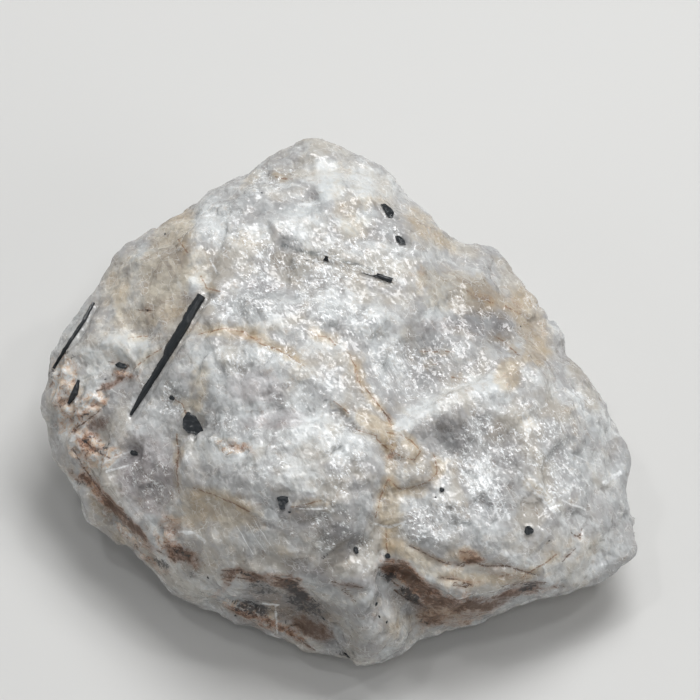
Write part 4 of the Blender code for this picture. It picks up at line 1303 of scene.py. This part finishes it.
def tourmaline(look):
    """Glossy black crystal with dusty hollows and pale lines where it is cracked."""
    bench = NodeBench("tourmaline")
    grain = bench.noise(bench.places(), 1.7, 4.0, 0.7, 0.3)
    dust = bench.math("MULTIPLY", bench.ramp(grain, 0.47, 0.6), 0.7)
    dust = bench.math("MAXIMUM", dust, hairline(bench, "line", grain, 0.13, 0.2))
    dust = bench.math("MAXIMUM", dust, frayed(bench, "spot", grain, 0.3, 0.9, 0.6))
    colour = bench.mix(dust, (*look.colour, 1), (*look.dusty, 1))
    bench.feed(bench.shader.inputs["Base Color"], colour)
    bench.feed(bench.shader.inputs["Roughness"], bench.math("ADD", 0.26, bench.math("MULTIPLY", dust, 0.4)))
    normal = bench.put("ShaderNodeNewGeometry").outputs["Normal"]
    for scale, lean in ((1.5, 0.5), (4.0, 0.4)):
        tilt = bench.vector("SUBTRACT", bench.cells(bench.places(), scale), (0.5, 0.5, 0.5))
        normal = bench.vector("ADD", normal, bench.scaled(tilt, lean))
    bench.feed(bench.shader.inputs["Normal"], bench.vector("NORMALIZE", normal))
    bench.shader.inputs["Specular IOR Level"].default_value = 0.6
    return bench.material


def solids_of(nodes):
    """A search tree over the CAD nodes' surfaces, without the stretches of them that lie under a veil."""
    solids = bmesh.new()
    for node in nodes:
        solids.from_mesh(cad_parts[node].data)
    places = np.array([vertex.co for vertex in solids.verts])
    u, v, _ = seen_places(places)
    veiled = line_offsets(u, v, VEILS)[0] < VEIL_REACH
    hidden = [face for face in solids.faces if all(veiled[vertex.index] for vertex in face.verts)]
    bmesh.ops.delete(solids, geom=hidden, context="FACES")
    tree = BVHTree.FromBMesh(solids)
    solids.free()
    return tree


def dress_crystal(piece, look):
    """Marks a black piece's pale lines and spots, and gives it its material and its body."""
    u, v, _ = seen_places(coordinates(piece.data))
    distance, left = line_offsets(u, v, CRYSTAL_LINES)
    set_mark(piece.data, "line", distance)
    set_mark(piece.data, "line_side", left)
    set_mark(piece.data, "spot", patches(u, v, CRYSTAL_SPOTS))
    piece.data.materials.append(bpy.data.materials.get("tourmaline") or tourmaline(look))
    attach(piece, "root")


def finish_crystal(node, look):
    """A crystal's copy, refined and roughened; where it is veiled it dives under the skin of the stone."""
    piece = copy_of_node(node, node.replace("tourmaline_", "black_"))
    apply_modifier(piece, "SUBSURF", subdivision_type="SIMPLE", levels=3, render_levels=3)
    places = coordinates(piece.data)
    u, v, _ = seen_places(places)
    under = 1 - ease(line_offsets(u, v, VEILS)[0], VEIL_REACH / 2, VEIL_REACH)
    places -= np.array(sight_axes()[2]) * (look.sink * under)[:, None]
    outward = normals(piece.data)
    height = look.rib * (1.6 * sampled(places, 0.45, cloud) + 2 * sampled(places, 0.9, chip_height))
    set_coordinates(piece.data, places + outward * height[:, None])
    select_only(piece)
    bpy.ops.object.shade_smooth_by_angle(angle=math.radians(28))
    dress_crystal(piece, look)
    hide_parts(node)


class OBJECT_OT_tourmaline_rods(bpy.types.Operator):
    """Makes the long crystals that lie along the surface"""

    bl_idname = "object.tourmaline_rods"
    bl_label = "Tourmaline rods and needles"

    def execute(self, context):
        for node in LONG_CRYSTALS:
            finish_crystal(node, context.scene.tourmaline_look)
        return {"FINISHED"}


class OBJECT_OT_tourmaline_stubs(bpy.types.Operator):
    """Makes the short crystals that show their broken ends"""

    bl_idname = "object.tourmaline_stubs"
    bl_label = "Tourmaline stubs"

    def execute(self, context):
        for node in STUB_CRYSTALS:
            finish_crystal(node, context.scene.tourmaline_look)
        return {"FINISHED"}


class OBJECT_OT_tourmaline_specks(bpy.types.Operator):
    """Sets the smallest black specks into the surface, all round the stone"""

    bl_idname = "object.tourmaline_specks"
    bl_label = "Tourmaline specks"

    def execute(self, context):
        lump = bpy.data.objects.get("feldspar_lump")
        if lump is None:
            raise RuntimeError("The specks need the feldspar lump")
        mesh = lump.data
        tree = BVHTree.FromPolygons([v.co for v in mesh.vertices], [p.vertices for p in mesh.polygons])
        near = sight_axes()[2]
        specks = []
        for spot, half_length in SPECKS:
            place, outward, _, _ = tree.ray_cast(stand(*spot, ABOVE_THE_STONE), -near)
            if place is None:
                raise RuntimeError(f"No surface under the speck at {spot}")
            specks.append(self.speck(place, outward, half_length, len(specks)))
        middle = sum((Vector(corner) for corner in CAD_BOX), Vector()) / 2
        for number in range(HIDDEN_SPECKS):
            turn = SPECK_TURN * number
            way = Vector((math.cos(turn), 0.4 + abs(math.sin(turn)), 0.9 * math.sin(number)))
            place, outward, _, _ = tree.ray_cast(middle + way.normalized() * ABOVE_THE_STONE * MM, -way)
            if place is not None and place.z > MM and outward.dot(near) < 0:
                specks.append(self.speck(place, outward, HIDDEN_SPECK, len(specks)))
        select_only(specks[0])
        for speck in specks:
            speck.select_set(True)
        bpy.ops.object.join()
        piece = context.active_object
        piece.name = "black_specks"
        piece.data.name = "black_specks"
        bpy.ops.object.shade_smooth_by_angle(angle=math.radians(35))
        dress_crystal(piece, context.scene.tourmaline_look)
        return {"FINISHED"}

    def speck(self, place, outward, half_length, number):
        """One small broken crystal, sunk to its middle, its length lying along the surface."""
        bpy.ops.object.select_all(action="DESELECT")
        bpy.ops.mesh.primitive_ico_sphere_add(subdivisions=3, radius=half_length * MM)
        speck = bpy.context.active_object
        pose = outward.to_track_quat("Z", "Y").to_matrix() @ Matrix.Rotation(SPECK_TURN * number, 3, "Z")
        places = coordinates(speck.data) * (1.0, 0.62, 0.4)
        grown = 1 + 0.5 * sampled(places + number * MM, 0.3, chip_height)
        turned = (places * grown[:, None]) @ np.array(pose).T + np.array(place)
        low, high = (np.array(corner) for corner in CAD_BOX)
        set_coordinates(speck.data, np.clip(turned, low, high))
        return speck


def area_light(name, direction, distance, size, power, target):
    """A square light that faces the target from a direction given as u, v and w."""
    right, up, near = sight_axes()
    way = (right * direction[0] + up * direction[1] + near * direction[2]).normalized()
    bpy.ops.object.light_add(type="AREA", location=target + way * distance)
    light = bpy.context.active_object
    light.name = name
    light.data.shape = "SQUARE"
    light.data.size = size
    light.data.energy = power
    light.rotation_mode = "QUATERNION"
    light.rotation_quaternion = way.to_track_quat("Z", "Y")


class OBJECT_OT_moonstone_stage(bpy.types.Operator):
    """Lays the floor and sets the lights and the camera"""

    bl_idname = "object.moonstone_stage"
    bl_label = "Stage"

    def execute(self, context):
        look = context.scene.stage_look
        bpy.ops.object.select_all(action="DESELECT")
        bpy.ops.mesh.primitive_plane_add(size=6.0)
        floor = context.active_object
        floor.name = "floor"
        paper = NodeBench("floor_paper")
        paper.shader.inputs["Base Color"].default_value = (*look.floor, 1)
        paper.shader.inputs["Roughness"].default_value = 0.9
        paper.shader.inputs["Specular IOR Level"].default_value = 0.2
        floor.data.materials.append(paper.material)
        target = stand(0, 0, 0)
        area_light("overhead softbox", (0.2, 0.80, 0.62), 0.6, 0.30, look.key, target)
        area_light("left fill", (-0.9, 0.1, 0.7), 0.7, 0.35, look.key * 0.12, target)
        area_light("right fill", (0.9, -0.1, 0.8), 0.7, 0.35, look.key * 0.18, target)
        area_light("right glint", (0.55, 0.50, 0.8), 0.7, 0.05, look.key * 0.14, target)
        area_light("left glint", (-0.35, 0.60, 0.9), 0.7, 0.05, look.key * 0.12, target)
        area_light("front glint", (0.1, 0.1, 1.0), 0.8, 0.06, look.key * 0.12, target)
        world = bpy.data.worlds.new("studio")
        world.use_nodes = True
        world.node_tree.nodes["Background"].inputs["Color"].default_value = (1.0, 1.0, 1.0, 1)
        world.node_tree.nodes["Background"].inputs["Strength"].default_value = 0.22
        context.scene.world = world
        context.scene.view_settings.view_transform = "Standard"
        self.camera(context, look)
        return {"FINISHED"}

    def camera(self, context, look):
        near = sight_axes()[2]
        aim = stand(*PICTURE_CENTRE, 0)
        bpy.ops.object.camera_add(location=aim + near * look.distance)
        camera = context.active_object
        camera.name = "eye"
        camera.rotation_mode = "QUATERNION"
        camera.rotation_quaternion = near.to_track_quat("Z", "Y")
        camera.data.sensor_width = 36
        camera.data.lens = camera.data.sensor_width * look.distance / (PICTURE_WIDTH * MM)
        camera.data.clip_start = 0.05
        context.scene.camera = camera


class VIEW3D_PT_moonstone(bpy.types.Panel):
    """Lists the stone's settings and the steps that make it"""

    bl_label = "Moonstone"
    bl_idname = "VIEW3D_PT_moonstone"
    bl_space_type = "VIEW_3D"
    bl_region_type = "UI"
    bl_category = "Moonstone"

    def draw(self, context):
        scene = context.scene
        looks = (scene.moonstone_sizes, scene.moonstone_colours, scene.tourmaline_look, scene.stage_look)
        for group in looks:
            box = self.layout.box()
            for name in group.__annotations__:
                box.prop(group, name)
        for operator in STEPS:
            self.layout.operator(operator.bl_idname)


GROUPS = {
    "moonstone_sizes": MoonstoneSizes,
    "moonstone_colours": MoonstoneColours,
    "tourmaline_look": TourmalineLook,
    "stage_look": StageLook,
}
STEPS = (
    OBJECT_OT_moonstone_lump,
    OBJECT_OT_tourmaline_rods,
    OBJECT_OT_tourmaline_stubs,
    OBJECT_OT_tourmaline_specks,
    OBJECT_OT_moonstone_stage,
)


def register():
    for group in GROUPS.values():
        bpy.utils.register_class(group)
    for step in STEPS:
        bpy.utils.register_class(step)
    bpy.utils.register_class(VIEW3D_PT_moonstone)
    for name, group in GROUPS.items():
        setattr(bpy.types.Scene, name, PointerProperty(type=group))


def unregister():
    for name in GROUPS:
        delattr(bpy.types.Scene, name)
    bpy.utils.unregister_class(VIEW3D_PT_moonstone)
    for step in reversed(STEPS):
        bpy.utils.unregister_class(step)
    for group in GROUPS.values():
        bpy.utils.unregister_class(group)


def main():
    register()
    bpy.ops.object.moonstone_lump()
    bpy.ops.object.tourmaline_rods()
    bpy.ops.object.tourmaline_stubs()
    bpy.ops.object.tourmaline_specks()
    bpy.ops.object.moonstone_stage()


if __name__ == "__main__":
    main()
